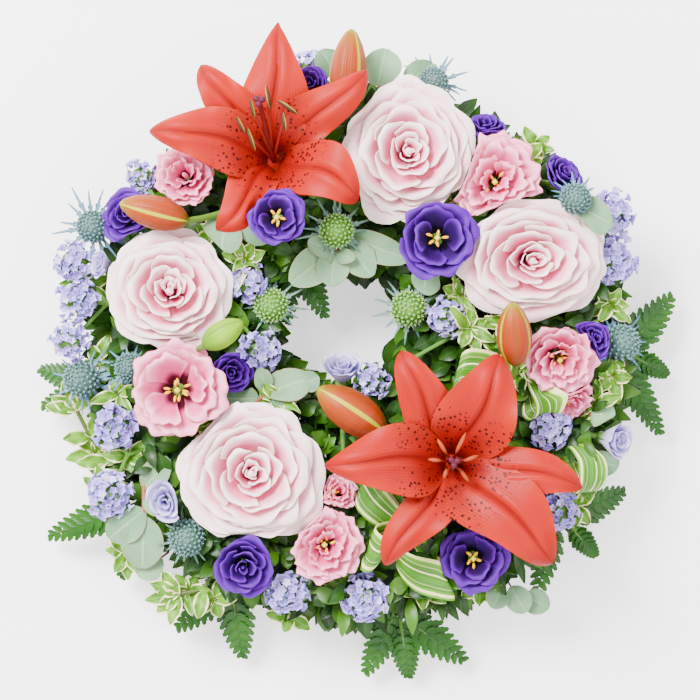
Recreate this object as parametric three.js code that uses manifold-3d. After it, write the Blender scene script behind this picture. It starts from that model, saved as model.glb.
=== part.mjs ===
// A funeral wreath: a ring of florist's foam in a plastic tray, with cut flowers and foliage pushed
// into the foam. Millimetres, +Z up. The origin is the middle of the ring, on the table under the tray,
// and the wreath is looked down on, with +Y towards the top of the picture.
import * as THREE from "three";
import { LoftGeometry } from "three/addons/geometries/LoftGeometry.js";
import { mergeVertices } from "three/addons/utils/BufferGeometryUtils.js";
import loadSolids from "manifold-3d";

const solids = await loadSolids();
solids.setup();
const { Manifold } = solids;

// The tray and the foam ring.
const TRAY_FLOOR = 2;
const TRAY_WALL = 2;
const TRAY_HEIGHT = 14;
const FOAM_INNER = 80;
const FOAM_OUTER = 150;
const FOAM_TOP = 50;
const FOAM_CHAMFER = 8;
const RING_SIDES = 28;

// What all the plants share.
const GAP = 0.4;
const SHEET = 0.7;
const STEM_DEPTH = 15;
const STEM_RISE = 4.5;
const STEM_SIDES = 4;
const SIDE_HOLE_HEIGHT = 26;
const PINNA_STEP = 5;
const LEAF_START = 0.4;

const TURN = 2 * Math.PI;

const vec = (x, y, z) => new THREE.Vector3(x, y, z);
const mix = (a, b, t) => a + (b - a) * t;

// Draws numbers from 0 to 1 that are the same on each run.
function seeded(seed) {
  let state = seed * 7919 + 17;
  return () => {
    state = (state * 1664525 + 1013904223) % 4294967296;
    return state / 4294967296;
  };
}

// A closed geometry as a solid with its faces pointing out.
function toSolid(geometry) {
  const bare = new THREE.BufferGeometry().copy(geometry);
  bare.deleteAttribute("normal");
  bare.deleteAttribute("uv");
  const welded = mergeVertices(bare, 1e-4);
  const vertProperties = new Float32Array(welded.attributes.position.array);
  const corners = [];
  for (let t = 0; t < welded.index.count; t += 3) {
    const [a, b, c] = welded.index.array.slice(t, t + 3);
    if (a !== b && b !== c && c !== a) {
      corners.push(a, b, c);
    }
  }
  const triVerts = new Uint32Array(corners);
  const corner = (index) => new THREE.Vector3().fromArray(vertProperties, 3 * index);
  let volume = 0;
  for (let t = 0; t < triVerts.length; t += 3) {
    volume += corner(triVerts[t]).dot(corner(triVerts[t + 1]).cross(corner(triVerts[t + 2])));
  }
  if (volume < 0) {
    triVerts.reverse();
  }
  return new Manifold(new solids.Mesh({ numProp: 3, vertProperties, triVerts }));
}

function toGeometry(solid) {
  const mesh = solid.getMesh();
  const geometry = new THREE.BufferGeometry();
  geometry.setAttribute("position", new THREE.BufferAttribute(mesh.vertProperties, 3));
  geometry.setIndex(new THREE.BufferAttribute(mesh.triVerts, 1));
  geometry.computeVertexNormals();
  return geometry;
}

const fuse = (list) => Manifold.union(list);

function largestBody(solid) {
  const bodies = solid.decompose();
  return bodies.reduce((best, body) => (body.volume() > best.volume() ? body : best));
}

// A ring turned from an outline of [radius, height] points that closes on itself.
function turned(outline, sides) {
  const points = outline.map(([radius, height]) => new THREE.Vector2(radius, height));
  return new THREE.LatheGeometry(points, sides).rotateX(TURN / 4);
}

// Every piece below is a function of how far its skin grows: 0 gives the piece itself, and a gap gives
// the room that its neighbours keep out of.

// A petal or leaf: a thin sheet with the same triangles on both faces. point(along, across) gives its
// middle surface, with along from 0 to 1 and across from -1 to 1.
function blade(point, alongSteps, acrossSteps, thickness = SHEET) {
  const rows = [];
  for (let i = 0; i <= alongSteps; i += 1) {
    const row = [];
    for (let j = 0; j <= acrossSteps; j += 1) {
      row.push(point(i / alongSteps, (2 * j) / acrossSteps - 1));
    }
    rows.push(row);
  }
  const spot = (i, j) => {
    const row = rows[Math.min(Math.max(i, 0), alongSteps)];
    return row[Math.min(Math.max(j, 0), acrossSteps)];
  };
  return (grow) => {
    const half = thickness / 2 + grow;
    const width = acrossSteps + 1;
    const count = (alongSteps + 1) * width;
    const positions = [];
    const below = [];
    for (let i = 0; i <= alongSteps; i += 1) {
      for (let j = 0; j <= acrossSteps; j += 1) {
        const along = spot(i + 1, j).clone().sub(spot(i - 1, j)).normalize();
        const across = spot(i, j + 1).clone().sub(spot(i, j - 1)).normalize();
        const normal = along.clone().cross(across).normalize();
        const middle = spot(i, j).clone();
        middle.addScaledVector(along, ((i === alongSteps) - (i === 0)) * grow);
        middle.addScaledVector(across, ((j === acrossSteps) - (j === 0)) * grow);
        positions.push(...middle.clone().addScaledVector(normal, half).toArray());
        below.push(...middle.addScaledVector(normal, -half).toArray());
      }
    }
    positions.push(...below);
    const index = [];
    for (let i = 0; i < alongSteps; i += 1) {
      for (let j = 0; j < acrossSteps; j += 1) {
        const a = i * width + j;
        const b = a + width;
        index.push(a, b, b + 1, a, b + 1, a + 1);
        index.push(count + a, count + b + 1, count + b, count + a, count + a + 1, count + b + 1);
      }
    }
    const rim = [];
    for (let i = 0; i < alongSteps; i += 1) {
      rim.push(i * width);
    }
    for (let j = 0; j < acrossSteps; j += 1) {
      rim.push(alongSteps * width + j);
    }
    for (let i = alongSteps; i > 0; i -= 1) {
      rim.push(i * width + acrossSteps);
    }
    for (let j = acrossSteps; j > 0; j -= 1) {
      rim.push(j);
    }
    rim.forEach((start, k) => {
      const end = rim[(k + 1) % rim.length];
      index.push(start, count + start, count + end, start, count + end, end);
    });
    const geometry = new THREE.BufferGeometry();
    geometry.setAttribute("position", new THREE.Float32BufferAttribute(positions, 3));
    geometry.setIndex(index);
    return toSolid(geometry);
  };
}

// A solid through rings of points, closed at each end by a fan. The last fan may meet at another point.
function lofted(sections, peak) {
  const middle = (ring) => ring.reduce((sum, spot) => sum.add(spot), vec(0, 0, 0)).divideScalar(ring.length);
  const first = sections[0];
  const last = sections[sections.length - 1];
  const start = middle(first);
  const end = peak ?? middle(last);
  return toSolid(new LoftGeometry([first.map(() => start), ...sections, last.map(() => end)]));
}

// A rod, spine, bud or head: sections round a line of points. radiusAt(index, angle) is its radius.
function rod(points, radiusAt, sides = STEM_SIDES) {
  return (grow) => {
    let normal = null;
    const last = points.length - 1;
    const sections = points.map((point, index) => {
      const before = points[Math.max(index - 1, 0)];
      const after = points[Math.min(index + 1, last)];
      const way = after.clone().sub(before).normalize();
      if (normal === null) {
        normal = Math.abs(way.z) > 0.9 ? vec(1, 0, 0) : vec(0, 0, 1);
      }
      normal = normal.clone().addScaledVector(way, -normal.dot(way)).normalize();
      const side = way.clone().cross(normal);
      const centre = point.clone().addScaledVector(way, ((index === last) - (index === 0)) * grow);
      return Array.from({ length: sides }, (_, k) => {
        const angle = (TURN * k) / sides;
        const radius = radiusAt(index, angle) + grow;
        return centre
          .clone()
          .addScaledVector(normal, radius * Math.cos(angle))
          .addScaledVector(side, radius * Math.sin(angle));
      });
    });
    return lofted(sections);
  };
}

// The frame that a bloom is built in: its base, and the way it faces.
function poseOf([x, y, z], depth, [leanX, leanY] = [0, 0]) {
  const axis = vec(leanX, leanY, 1).normalize();
  const side = vec(0, 1, 0).cross(axis).normalize();
  const front = axis.clone().cross(side);
  const base = vec(x, y, z).addScaledVector(axis, -depth);
  return { base, axis, side, front };
}

function around(pose, angle, radius, height, [ovalX, ovalY] = [1, 1]) {
  return pose.base
    .clone()
    .addScaledVector(pose.side, radius * ovalX * Math.cos(angle))
    .addScaledVector(pose.front, radius * ovalY * Math.sin(angle))
    .addScaledVector(pose.axis, height);
}

// The rooms that finished blooms take up. A later petal or leaf is bent clear of them.
const rooms = [];

function takeRoom(centre, axes, radii) {
  rooms.push({ centre, axes, radii });
}

function bendClear(point) {
  const bent = point.clone();
  for (const { centre, axes, radii } of rooms) {
    const offset = bent.clone().sub(centre);
    const parts = axes.map((axis, k) => offset.dot(axis) / radii[k]);
    const reach = Math.hypot(...parts);
    if (reach < 1.5) {
      const pushed = (1 + reach ** 6) ** (1 / 6);
      bent.copy(centre).addScaledVector(offset, pushed / Math.max(reach, 0.05));
    }
  }
  return bent;
}

// Stems stand in plain holes in the foam.
const holes = [];

const topFoot = (x, y) => ({ at: vec(x, y, FOAM_TOP), into: vec(0, 0, -1) });

function outerFoot(degrees, height = SIDE_HOLE_HEIGHT) {
  const angle = THREE.MathUtils.degToRad(degrees);
  const out = vec(Math.cos(angle), Math.sin(angle), 0);
  return { at: out.clone().multiplyScalar(FOAM_OUTER).setZ(height), into: out.negate() };
}

function innerFoot(degrees) {
  const angle = THREE.MathUtils.degToRad(degrees);
  const out = vec(Math.cos(angle), Math.sin(angle), 0);
  return { at: out.clone().multiplyScalar(FOAM_INNER).setZ(SIDE_HOLE_HEIGHT), into: out };
}

function planted(foot, radius, way) {
  const end = foot.at.clone().addScaledVector(foot.into, STEM_DEPTH);
  const mouth = foot.at.clone().addScaledVector(foot.into, -STEM_RISE);
  const hole = [
    foot.at.clone().addScaledVector(foot.into, STEM_DEPTH + 1),
    foot.at.clone().addScaledVector(foot.into, -1),
  ];
  holes.push(rod(hole, () => radius + GAP));
  const straight = way.length === 1 && way[0].clone().sub(foot.at).normalize().dot(foot.into) < -0.999;
  if (straight) {
    return rod([end, way[0]], () => radius);
  }
  return rod([end, mouth, ...way], () => radius);
}

const runner = (way, radius) => rod(way, () => radius, 3);

// The nodes, from the blooms that lie over their neighbours down to the foliage under them.
const nodes = [];

function addNode(name, finish, soft, stems) {
  nodes.push({ name, finish, soft, stems });
}

const finish = (color, roughness) => ({ color, roughness, metalness: 0 });
const TRAY_GREEN = finish(0x2f4a33, 0.45);
const FOAM_GREEN = finish(0x3d5f3a, 0.95);
const LILY_RED = finish(0xdf4a3a, 0.45);
const STAMEN_TAN = finish(0xa2703a, 0.7);
const BUD_ORANGE = finish(0xd98a45, 0.5);
const BUD_GREEN = finish(0x9bbf3c, 0.5);
const ROSE_CREAM = finish(0xf3d3d6, 0.55);
const LISIANTHUS_PINK = finish(0xe58ba3, 0.55);
const LISIANTHUS_VIOLET = finish(0x4d2a9a, 0.55);
const LISIANTHUS_PALE = finish(0xcbc6e6, 0.55);
const THISTLE_BLUE = finish(0x6f8a93, 0.7);
const STATICE_LILAC = finish(0xa9a6dc, 0.8);
const STRIPED_GREEN = finish(0x7fae3c, 0.45);
const EUCALYPTUS_GREY = finish(0xa3bfa9, 0.7);
const LIME_GREEN = finish(0x8fae4c, 0.5);
const FERN_GREEN = finish(0x2f6b32, 0.5);

// Lilies: six tepals that rise out of the throat, arch over and droop to their tips.
const LILY_CORE = [[0, 0], [3.6, 1], [6.4, 8], [5.6, 13], [0, 14]];
const LILY_THROAT = 8;
const LILY_CORE_DEPTH = 12;
const LILY_STEM = 3.2;
const WIDE_TEPAL = 15;
const TEPAL_ROOT = 4.2;
const TEPAL_RISE = 20;
const TEPAL_ARCH = 15;
const TEPAL_SHEET = 0.9;

function tepal(throat, tip, halfWidth, seed) {
  const root = throat.clone().setZ(throat.z - LILY_THROAT);
  const out = tip.clone().sub(root).setZ(0);
  const length = out.length();
  const way = out.clone().normalize();
  const side = vec(-way.y, way.x, 0);
  root.addScaledVector(way, TEPAL_ROOT);
  const rise = tip.z - root.z;
  const midrib = new THREE.CubicBezierCurve3(
    root,
    root.clone().addScaledVector(way, 0.1 * length).setZ(root.z + TEPAL_RISE),
    root.clone().addScaledVector(way, 0.62 * length).setZ(root.z + rise + TEPAL_ARCH),
    tip,
  );
  const point = (along, across) => {
    const belly = Math.sin(Math.PI * Math.min(along ** 0.85, 1));
    const spine = midrib.getPoint(along);
    const room = 0.36 * Math.hypot(spine.x - throat.x, spine.y - throat.y) + 0.3;
    const wide = Math.min(halfWidth * belly ** 0.9 + mix(2, 0.9, along), room);
    const over = (halfWidth >= WIDE_TEPAL ? 3 : -1.5) * belly;
    const cupped = mix(0.5, -0.45, along) * wide * across * across;
    const wave = 1.3 * Math.sin(7.5 * along + 2.1 * seed + across) * across * across * belly;
    return spine
      .addScaledVector(side, wide * across)
      .add(vec(0, 0, cupped + wave + over));
  };
  return { point, midrib, side };
}

function lily(name, [x, y, z], foot, tips) {
  const throat = vec(x, y, z);
  const low = vec(x, y, z - LILY_THROAT - LILY_CORE_DEPTH);
  const core = (grow) => {
    const outline = LILY_CORE.map(([radius, height]) => [radius && radius + grow, height]);
    return toSolid(turned(outline, 6).translate(...low.toArray()));
  };
  const tepals = tips.map(([tipX, tipY, tipZ, halfWidth], k) =>
    tepal(throat, vec(tipX, tipY, tipZ), halfWidth, k),
  );
  const petals = tepals.map(({ point }) => blade((u, v) => bendClear(point(u, v)), 4, 2, TEPAL_SHEET));
  const stem = planted(foot, LILY_STEM, [low.clone().add(vec(0, 0, 3))]);
  addNode(name, LILY_RED, [core, ...petals], [stem]);
  tepals.forEach(({ midrib, side }, k) => {
    const near = midrib.getPoint(0.2);
    const far = midrib.getPoint(1);
    const long = far.clone().sub(near).normalize();
    const up = long.clone().cross(side).normalize();
    up.multiplyScalar(Math.sign(up.z));
    const centre = midrib.getPoint(0.6).addScaledVector(up, 9);
    takeRoom(centre, [long, side, up], [near.distanceTo(far) / 2 + 5, tips[k][3] + 2, 11.5]);
  });
  takeRoom(throat.clone().add(vec(0, 0, -6)), [vec(1, 0, 0), vec(0, 1, 0), vec(0, 0, 1)], [9, 9, 16]);
}

// Stamens: filaments that spread from a hub in the throat, each with an anther across its tip, and the
// pistil with its broad stigma rising between them.
const FILAMENT = 0.65;
const HUB = 2.4;
const ANTHER_HALF = 5;

function stamens(name, [x, y, z], anthers, stigma) {
  const low = vec(x, y, z - LILY_THROAT + 2.6);
  const top = vec(...stigma);
  const pistil = [low, low.clone().add(vec(0, 0, 6)), low.clone().lerp(top, 0.9), top];
  const parts = [rod(pistil, (k) => [HUB, 1.7, 1, 2.8][k], 6)];
  anthers.forEach(([ax, ay, az], k) => {
    const tip = vec(ax, ay, az);
    const start = low.clone().add(vec(1.6 * Math.cos(k * TURN / 6), 1.6 * Math.sin(k * TURN / 6), 3));
    const across = tip.clone().sub(low).cross(vec(0, 0, 1)).normalize();
    const ends = [-ANTHER_HALF, 0, ANTHER_HALF].map((reach) => tip.clone().addScaledVector(across, reach));
    parts.push(rod([start, tip], () => FILAMENT, 3));
    parts.push(rod(ends, (end) => [0.6, 1.5, 0.6][end], 3));
  });
  addNode(name, STAMEN_TAN, parts, []);
}

// Lily buds: long, blunt and three-lobed, on their pedicels.
const BUD_SHAPE = [[0, 0.3], [0.14, 0.72], [0.4, 1], [0.68, 0.86], [0.88, 0.5], [1, 0.16]];

function budBody(base, tip, width) {
  const points = BUD_SHAPE.map(([along]) => base.clone().lerp(tip, along));
  const lobed = (k, angle) => (width / 2) * BUD_SHAPE[k][1] * (0.96 + 0.06 * Math.cos(3 * angle));
  const body = rod(points, lobed, 6);
  const long = tip.clone().sub(base);
  const half = long.length() / 2;
  const way = long.normalize();
  const side = vec(-way.y, way.x, 0).normalize();
  const room = () => {
    const centre = base.clone().addScaledVector(way, half);
    takeRoom(centre, [way, side, way.clone().cross(side)], [half + 2, width / 2 + 1.5, width / 2 + 1.5]);
  };
  return { body, room };
}

function budSpray(name, colours, foot, fork, buds) {
  const bodies = buds.map(({ base, tip, width }) => budBody(vec(...base), vec(...tip), width));
  const forkPoint = fork ? vec(...fork) : null;
  const pedicels = buds.map(({ base, tip, via }) => {
    const end = vec(...base).lerp(vec(...tip), 0.08);
    const way = via.map((spot) => vec(...spot));
    return forkPoint ? runner([forkPoint, ...way, end], 1.9) : null;
  });
  const { base, tip, via } = buds[0];
  const alone = [...via.map((spot) => vec(...spot)), vec(...base).lerp(vec(...tip), 0.08)];
  const stem = planted(foot, 2.2, forkPoint ? [forkPoint] : alone);
  addNode(name, colours, bodies.map(({ body }) => body), [stem, ...pedicels.filter(Boolean)]);
  bodies.forEach(({ room }) => room());
}

// Roses and lisianthus: petals in rings, one in the other, with a deep valley between each two rings.
// A ring is [radius, height] as shares of the bloom's own, and turn says by how many columns its petals
// are turned. Each petal has three columns, and its leading edge lies outside the next petal's edge.
const COLUMNS = 3;
const ROSE_RINGS = [
  { spot: [0.18, -0.04] },
  { spot: [0.55, 0.26] },
  { spot: [0.88, 0.6], lap: 0.02 },
  { spot: [1, 0.74], lap: 0.05, round: 0.07 },
  { spot: [0.79, 0.62], lap: 0.03, valley: true },
  { spot: [0.78, 0.93], lap: 0.06, round: 0.07, turn: 1 },
  { spot: [0.6, 0.66], lap: 0.04, turn: 1, valley: true },
  { spot: [0.56, 1.01], lap: 0.08, round: 0.06, turn: 2 },
  { spot: [0.4, 0.72], lap: 0.06, turn: 2, valley: true },
  { spot: [0.35, 1.03], lap: 0.12, round: 0.05 },
  { spot: [0.2, 0.78], lap: 0.08, valley: true },
  { spot: [0.13, 1], lap: 0.2, round: 0.04, turn: 1 },
];
const PINK_RINGS = [
  { spot: [0.2, -0.03] },
  { spot: [0.5, 0.26] },
  { spot: [1, 0.72], lap: 0.06, round: 0.05, ruffle: 0.12 },
  { spot: [0.66, 0.52], lap: 0.03, valley: true },
  { spot: [0.64, 0.95], lap: 0.07, round: 0.06, ruffle: 0.1, turn: 1 },
];
const VIOLET_RINGS = [
  { spot: [0.24, -0.03] },
  { spot: [0.55, 0.32] },
  { spot: [1, 0.8], lap: 0.06, round: 0.09, ruffle: 0.06 },
  { spot: [0.62, 0.58], lap: 0.03, valley: true },
  { spot: [0.52, 1], lap: 0.09, round: 0.07, ruffle: 0.04, turn: 1 },
];
const PALE_RINGS = [
  { spot: [0.2, -0.05] },
  { spot: [0.85, 0.4] },
  { spot: [0.95, 0.95], lap: 0.08, round: 0.08 },
  { spot: [0.6, 0.72], lap: 0.05, valley: true },
  { spot: [0.34, 1], lap: 0.15, turn: 1 },
];

// How high the middle of each kind of bloom lies.
const HEARTS = new Map([[ROSE_RINGS, 0.96], [PINK_RINGS, 0.42], [VIOLET_RINGS, 0.58], [PALE_RINGS, 0.8]]);

function bloomParts({ at, radius, depth, lean, oval, petals = 5, seed }, rings) {
  const draw = seeded(seed);
  const pose = poseOf(at, depth, lean);
  const columns = petals * COLUMNS;
  const step = TURN / columns;
  const start = TURN * draw();
  const uneven = rings.map(() => Array.from({ length: columns }, () => draw() - 0.5));
  const section = ({ spot: [out, high], lap = 0, round = 0, ruffle = 0, turn = 0 }, index, grow) =>
    uneven[index].map((chance, column) => {
      const across = ((column + columns - turn) % COLUMNS) - 1;
      const angle = start + step * (column + 0.37 * across);
      const rippled = ruffle * (column % 2 ? 1 : -1);
      const reach = radius * out * (1 + lap * across + 0.05 * chance * out + 0.5 * rippled) + grow;
      const lift = depth * (high - round * Math.abs(across) + rippled + 0.05 * chance * out);
      return bendClear(around(pose, angle, reach, lift, oval));
    });
  const whole = rings.map((ring, index) => section(ring, index, 0));
  const walls = rings.flatMap((ring, index) => (ring.valley ? [] : [section(ring, index, 1.5 * GAP)]));
  walls[0].forEach((spot) => spot.addScaledVector(pose.axis, -GAP));
  const heart = around(pose, 0, 0, HEARTS.get(rings) * depth);
  const crown = around(pose, 0, 0, 1.12 * depth);
  const part = (grow) => (grow ? lofted(walls, crown) : lofted(whole, heart));
  const room = () => {
    const [ovalX, ovalY] = oval ?? [1, 1];
    const centre = around(pose, 0, 0, 0.55 * depth);
    const radii = [radius * ovalX + 0.8, radius * ovalY + 0.8, 0.6 * depth + 0.8];
    takeRoom(centre, [pose.side, pose.front, pose.axis], radii);
  };
  return { parts: [part], pose, room };
}

function bloomNode(name, colours, rings, foot, stemRadius, blooms, fork) {
  const made = blooms.map((bloom) => {
    const parts = bloomParts(bloom, rings);
    parts.room();
    return parts;
  });
  const ends = made.map(({ pose }) => pose.base.clone().addScaledVector(pose.axis, 1));
  const stems = [];
  if (fork) {
    const forkPoint = vec(...fork);
    stems.push(planted(foot, stemRadius, [forkPoint]));
    ends.forEach((end) => stems.push(runner([forkPoint, end], stemRadius)));
  } else {
    stems.push(planted(foot, stemRadius, [ends[0]]));
  }
  addNode(name, colours, made.flatMap(({ parts }) => parts), stems);
}

// Thistles: a knobbly egg-shaped head that stands on a star of narrow, stiff, spiny bracts.
const BRACTS = 6;
const THISTLE_HEAD = [[0.85, 0.4], [1, 1.1], [0.78, 1.75], [0.22, 2.2]];

function thistleParts({ at, radius, reach, lean, seed }) {
  const draw = seeded(seed);
  const pose = poseOf(at, 2.2 * radius, lean);
  const columns = Array.from({ length: 2 * BRACTS }, (_, column) => {
    const long = reach * mix(0.8, 1.05, draw());
    const high = mix(-0.2, 0.5, draw()) * radius;
    return { angle: (TURN * (column + 0.3 * draw())) / (2 * BRACTS), long, high };
  });
  const star = columns.map(({ angle, long, high }, column) => {
    const spine = column % 2 === 0;
    return bendClear(around(pose, angle, spine ? long : 0.62 * radius, spine ? high : 0.15 * radius));
  });
  const part = (grow) => {
    const ring = (out, high) => columns.map(({ angle }) => around(pose, angle, out * radius + grow, high * radius));
    const head = THISTLE_HEAD.map(([out, high], level) =>
      columns.map(({ angle }, column) => {
        const knob = column % 2 === level % 2 ? 1.1 : 0.9;
        return around(pose, angle, out * knob * radius + grow, (high + 0.1 * (knob - 1)) * radius + grow);
      }),
    );
    const wider = star.map((spot) => spot.clone().addScaledVector(spot.clone().sub(pose.base).normalize(), grow));
    return lofted([ring(0.35, -0.05 - grow / radius), wider, ...head]);
  };
  return { parts: [part], pose };
}

function thistle(name, foot, heads, fork) {
  const made = heads.map((head) => thistleParts(head));
  const ends = made.map(({ pose }) => pose.base.clone().addScaledVector(pose.axis, 1.5));
  const stems = [planted(foot, 1.8, fork ? [vec(...fork), ends[0]] : [ends[0]])];
  ends.slice(1).forEach((end) => stems.push(runner([vec(...fork), end], 1.6)));
  addNode(name, THISTLE_BLUE, made.flatMap(({ parts }) => parts), stems);
  heads.forEach(({ radius }, k) => {
    const { pose } = made[k];
    const wide = radius + 1;
    takeRoom(around(pose, 0, 0, 1.1 * radius), [pose.side, pose.front, pose.axis], [wide, wide, 1.3 * radius]);
  });
}

// Statice: domes of small papery florets, on branched stems. The florets are raised from each dome.
const STATICE_SIDES = 8;
const STATICE_DOME = [[0.25, -0.5], [0.95, -0.15], [0.98, 0.3], [0.62, 0.62], [0.24, 0.78]];

function clumpPart(pose, radius, draw) {
  const rings = STATICE_DOME.map(([out, high], level) =>
    Array.from({ length: STATICE_SIDES }, (_, column) => {
      const raised = level === 0 ? 0 : 0.15 * (column % 2 === level % 2 ? 1 : -1);
      const angle = (TURN * (column + 0.3 * draw())) / STATICE_SIDES;
      return { angle, out: out * (1 + raised) * radius, high: (high + raised + 0.1 * draw()) * radius };
    }),
  );
  return (grow) => {
    const sections = rings.map((ring, level) =>
      ring.map(({ angle, out, high }) => around(pose, angle, out + grow, high + grow * (level ? 1 : -1))),
    );
    return lofted(sections);
  };
}

function statice(name, foot, hub, clumps, seed) {
  const draw = seeded(seed);
  const hubPoint = vec(...hub);
  const parts = [];
  const stems = [planted(foot, 1.5, [hubPoint])];
  clumps.forEach(([x, y, z, radius]) => {
    const pose = poseOf([x, y, z - 0.8 * radius], 0);
    parts.push(clumpPart(pose, radius, draw));
    stems.push(runner([hubPoint, pose.base.clone().add(vec(0, 0, -0.3 * radius))], 1.4));
  });
  addNode(name, STATICE_LILAC, parts, stems);
  clumps.forEach(([x, y, z, radius]) => {
    takeRoom(vec(x, y, z - 0.4 * radius), [vec(1, 0, 0), vec(0, 1, 0), vec(0, 0, 1)], [radius, radius, 0.9 * radius]);
  });
}

// A leaf on a twig: from root to tip, with its half width, a fold along the rib and a wave at its edge.
function leafSurface(root, tip, halfWidth, { fold = 0.15, wave = 0, roundness = 0.8, droop = 0.08 } = {}) {
  const long = tip.clone().sub(root);
  const length = long.length() - LEAF_START;
  const way = long.normalize();
  const side = vec(-way.y, way.x, 0).normalize();
  const up = way.clone().cross(side).normalize();
  up.multiplyScalar(Math.sign(up.z) || 1);
  const start = root.clone().addScaledVector(way, LEAF_START);
  return (along, across) => {
    const wide = halfWidth * Math.sin(Math.PI * mix(0.015, 0.97, along)) ** roundness;
    const arched = droop * length * Math.sin(Math.PI * along);
    const waved = wave * Math.sin(9 * along) * across * across;
    return bendClear(
      start
        .clone()
        .addScaledVector(way, length * along)
        .addScaledVector(side, wide * across)
        .addScaledVector(up, arched + fold * wide * across * across + waved),
    );
  };
}

function leafyTwig(name, colours, foot, way, leaves, shape, steps) {
  const points = way.map((spot) => vec(...spot));
  const stem = planted(foot, 1.4, points);
  const parts = leaves.map(([root, tip, halfWidth]) =>
    blade(leafSurface(vec(...root), vec(...tip), halfWidth, shape), steps[0], steps[1]),
  );
  addNode(name, colours, parts, [stem]);
}

// Ferns: pinnae spread from one rib, each an arched blade whose edge is cut into leaflets.
function pinna(root, tip, halfWidth, leaflets) {
  const long = tip.clone().sub(root);
  const length = long.length();
  const way = long.normalize();
  const side = vec(-way.y, way.x, 0).normalize();
  const up = way.clone().cross(side).normalize();
  up.multiplyScalar(Math.sign(up.z) || 1);
  const steps = 2 * leaflets;
  const surface = (along, across) => {
    const step = Math.round(along * steps);
    const inTip = step % 2 === 1;
    const taper = Math.sin(Math.PI * mix(0.16, 0.97, along)) ** 0.9;
    const notch = step === 0 ? 0.8 : Math.max(0.3 * halfWidth * taper, 0.8);
    const wide = inTip ? halfWidth * taper : notch;
    const swept = inTip ? 0.35 * wide : 0;
    const arched = 0.1 * length * Math.sin(Math.PI * along);
    return bendClear(
      root
        .clone()
        .addScaledVector(way, mix(-0.5, 0.96 * length, along) + swept)
        .addScaledVector(side, wide * across)
        .addScaledVector(up, arched),
    );
  };
  return blade(surface, steps, 1);
}

// Every fern is one frond: pinnae that leave its rib one after another, the outermost ones first.
function fern(name, foot, tips) {
  const spots = tips.map((_, k) => foot.at.clone().addScaledVector(foot.into, -(5 + PINNA_STEP * k)));
  const stem = planted(foot, 1.6, [spots[spots.length - 1].clone().addScaledVector(foot.into, -1)]);
  const pinnae = tips.map(([x, y, z, halfWidth, leaflets], k) => pinna(spots[k], vec(x, y, z), halfWidth, leaflets));
  addNode(name, FERN_GREEN, pinnae, [stem]);
}

// Striped leaves: long strips folded over into loops, with both ends at the foot.
function loopLeaf(knot, over, halfWidth, side) {
  const across3 = vec(...side).normalize();
  const away = vec(...over[0]).sub(knot).setZ(0).normalize();
  const start = knot.clone().addScaledVector(away, 1.5).add(vec(0, 0, -1));
  const end = knot.clone().addScaledVector(away, 1.5).add(vec(0, 0, 2));
  const curve = new THREE.CatmullRomCurve3([start, ...over.map((spot) => vec(...spot)), end], false, "centripetal");
  return blade(
    (along, across) => {
      const wide = halfWidth * mix(0.12, 1, Math.sin(Math.PI * along) ** 0.6);
      return bendClear(curve.getPoint(along).addScaledVector(across3, wide * across));
    },
    9,
    1,
    0.8,
  );
}

// Violet bloom that lies over the lily's lower petals.
bloomNode("violet_a", LISIANTHUS_VIOLET, VIOLET_RINGS, topFoot(-47, 79), 1.8, [
  { at: [-47, 79, 112], radius: 16, depth: 17, seed: 1 },
]);

// The two lilies, with their stamens and buds. Each tip is [x, y, z, half width].
const LILY_TOP = [-50, 114, 80];
const LILY_RIGHT = [55, -63, 80];
lily("lily_top", LILY_TOP, topFoot(-50, 114), [
  [-47, 196, 90, 16],
  [-92, 169, 98, 12],
  [-122, 130, 102, 15],
  [-83, 71, 102, 12],
  [1, 89, 106, 15],
  [5, 166, 98, 13],
]);
stamens(
  "lily_top_stamens",
  LILY_TOP,
  [[-40, 138, 108], [-36, 148, 111], [-46, 154, 112], [-57, 152, 113], [-66, 146, 112], [-63, 135, 108]],
  [-52, 143, 116],
);
lily("lily_right", LILY_RIGHT, topFoot(68, -78), [
  [24, 3, 100, 13],
  [82, 1, 102, 17],
  [-21, -64, 100, 16],
  [131, -78, 98, 14],
  [114, -122, 96, 17],
  [15, -124, 94, 14],
]);
stamens(
  "lily_right_stamens",
  LILY_RIGHT,
  [[68, -55, 105], [58, -44, 106], [43, -50, 105], [41, -62, 104], [46, -72, 103], [64, -70, 104]],
  [55, -56, 109],
);
budSpray("lily_top_buds", BUD_ORANGE, topFoot(-44, 100), [-44, 100, 57], [
  { base: [-8, 144, 74], tip: [-4, 191, 80], width: 22, via: [[-20, 131, 66]] },
  { base: [-100, 78, 88], tip: [-139, 88, 92], width: 20, via: [[-80, 86, 70]] },
]);
budSpray("lily_right_buds", BUD_ORANGE, topFoot(84, -40), [72, -36, 58], [
  { base: [15, -46, 80], tip: [-24, -20, 84], width: 25, via: [[42, -40, 66]] },
  { base: [92, -6, 86], tip: [89, 30, 100], width: 21, via: [[86, -18, 70]] },
]);
budSpray("green_bud", BUD_GREEN, topFoot(-93, 3), null, [
  { base: [-90, 5, 96], tip: [-67, 19, 100], width: 16, via: [[-94, 3, 88]] },
]);

// Blooms that lie over the roses' edges.
bloomNode("pink_c", LISIANTHUS_PINK, PINK_RINGS, topFoot(-106, -21), 2, [
  { at: [-106, -21, 94], radius: 28, depth: 27, seed: 4 },
]);
bloomNode("violet_b", LISIANTHUS_VIOLET, VIOLET_RINGS, topFoot(54, 79), 1.8, [
  { at: [46, 68, 94], radius: 22, depth: 22, seed: 5 },
]);
bloomNode("violet_g", LISIANTHUS_VIOLET, VIOLET_RINGS, topFoot(-64, -119), 1.8, [
  { at: [-68, -126, 84], radius: 18, depth: 18, lean: [-0.05, -0.2], seed: 6 },
]);

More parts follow.
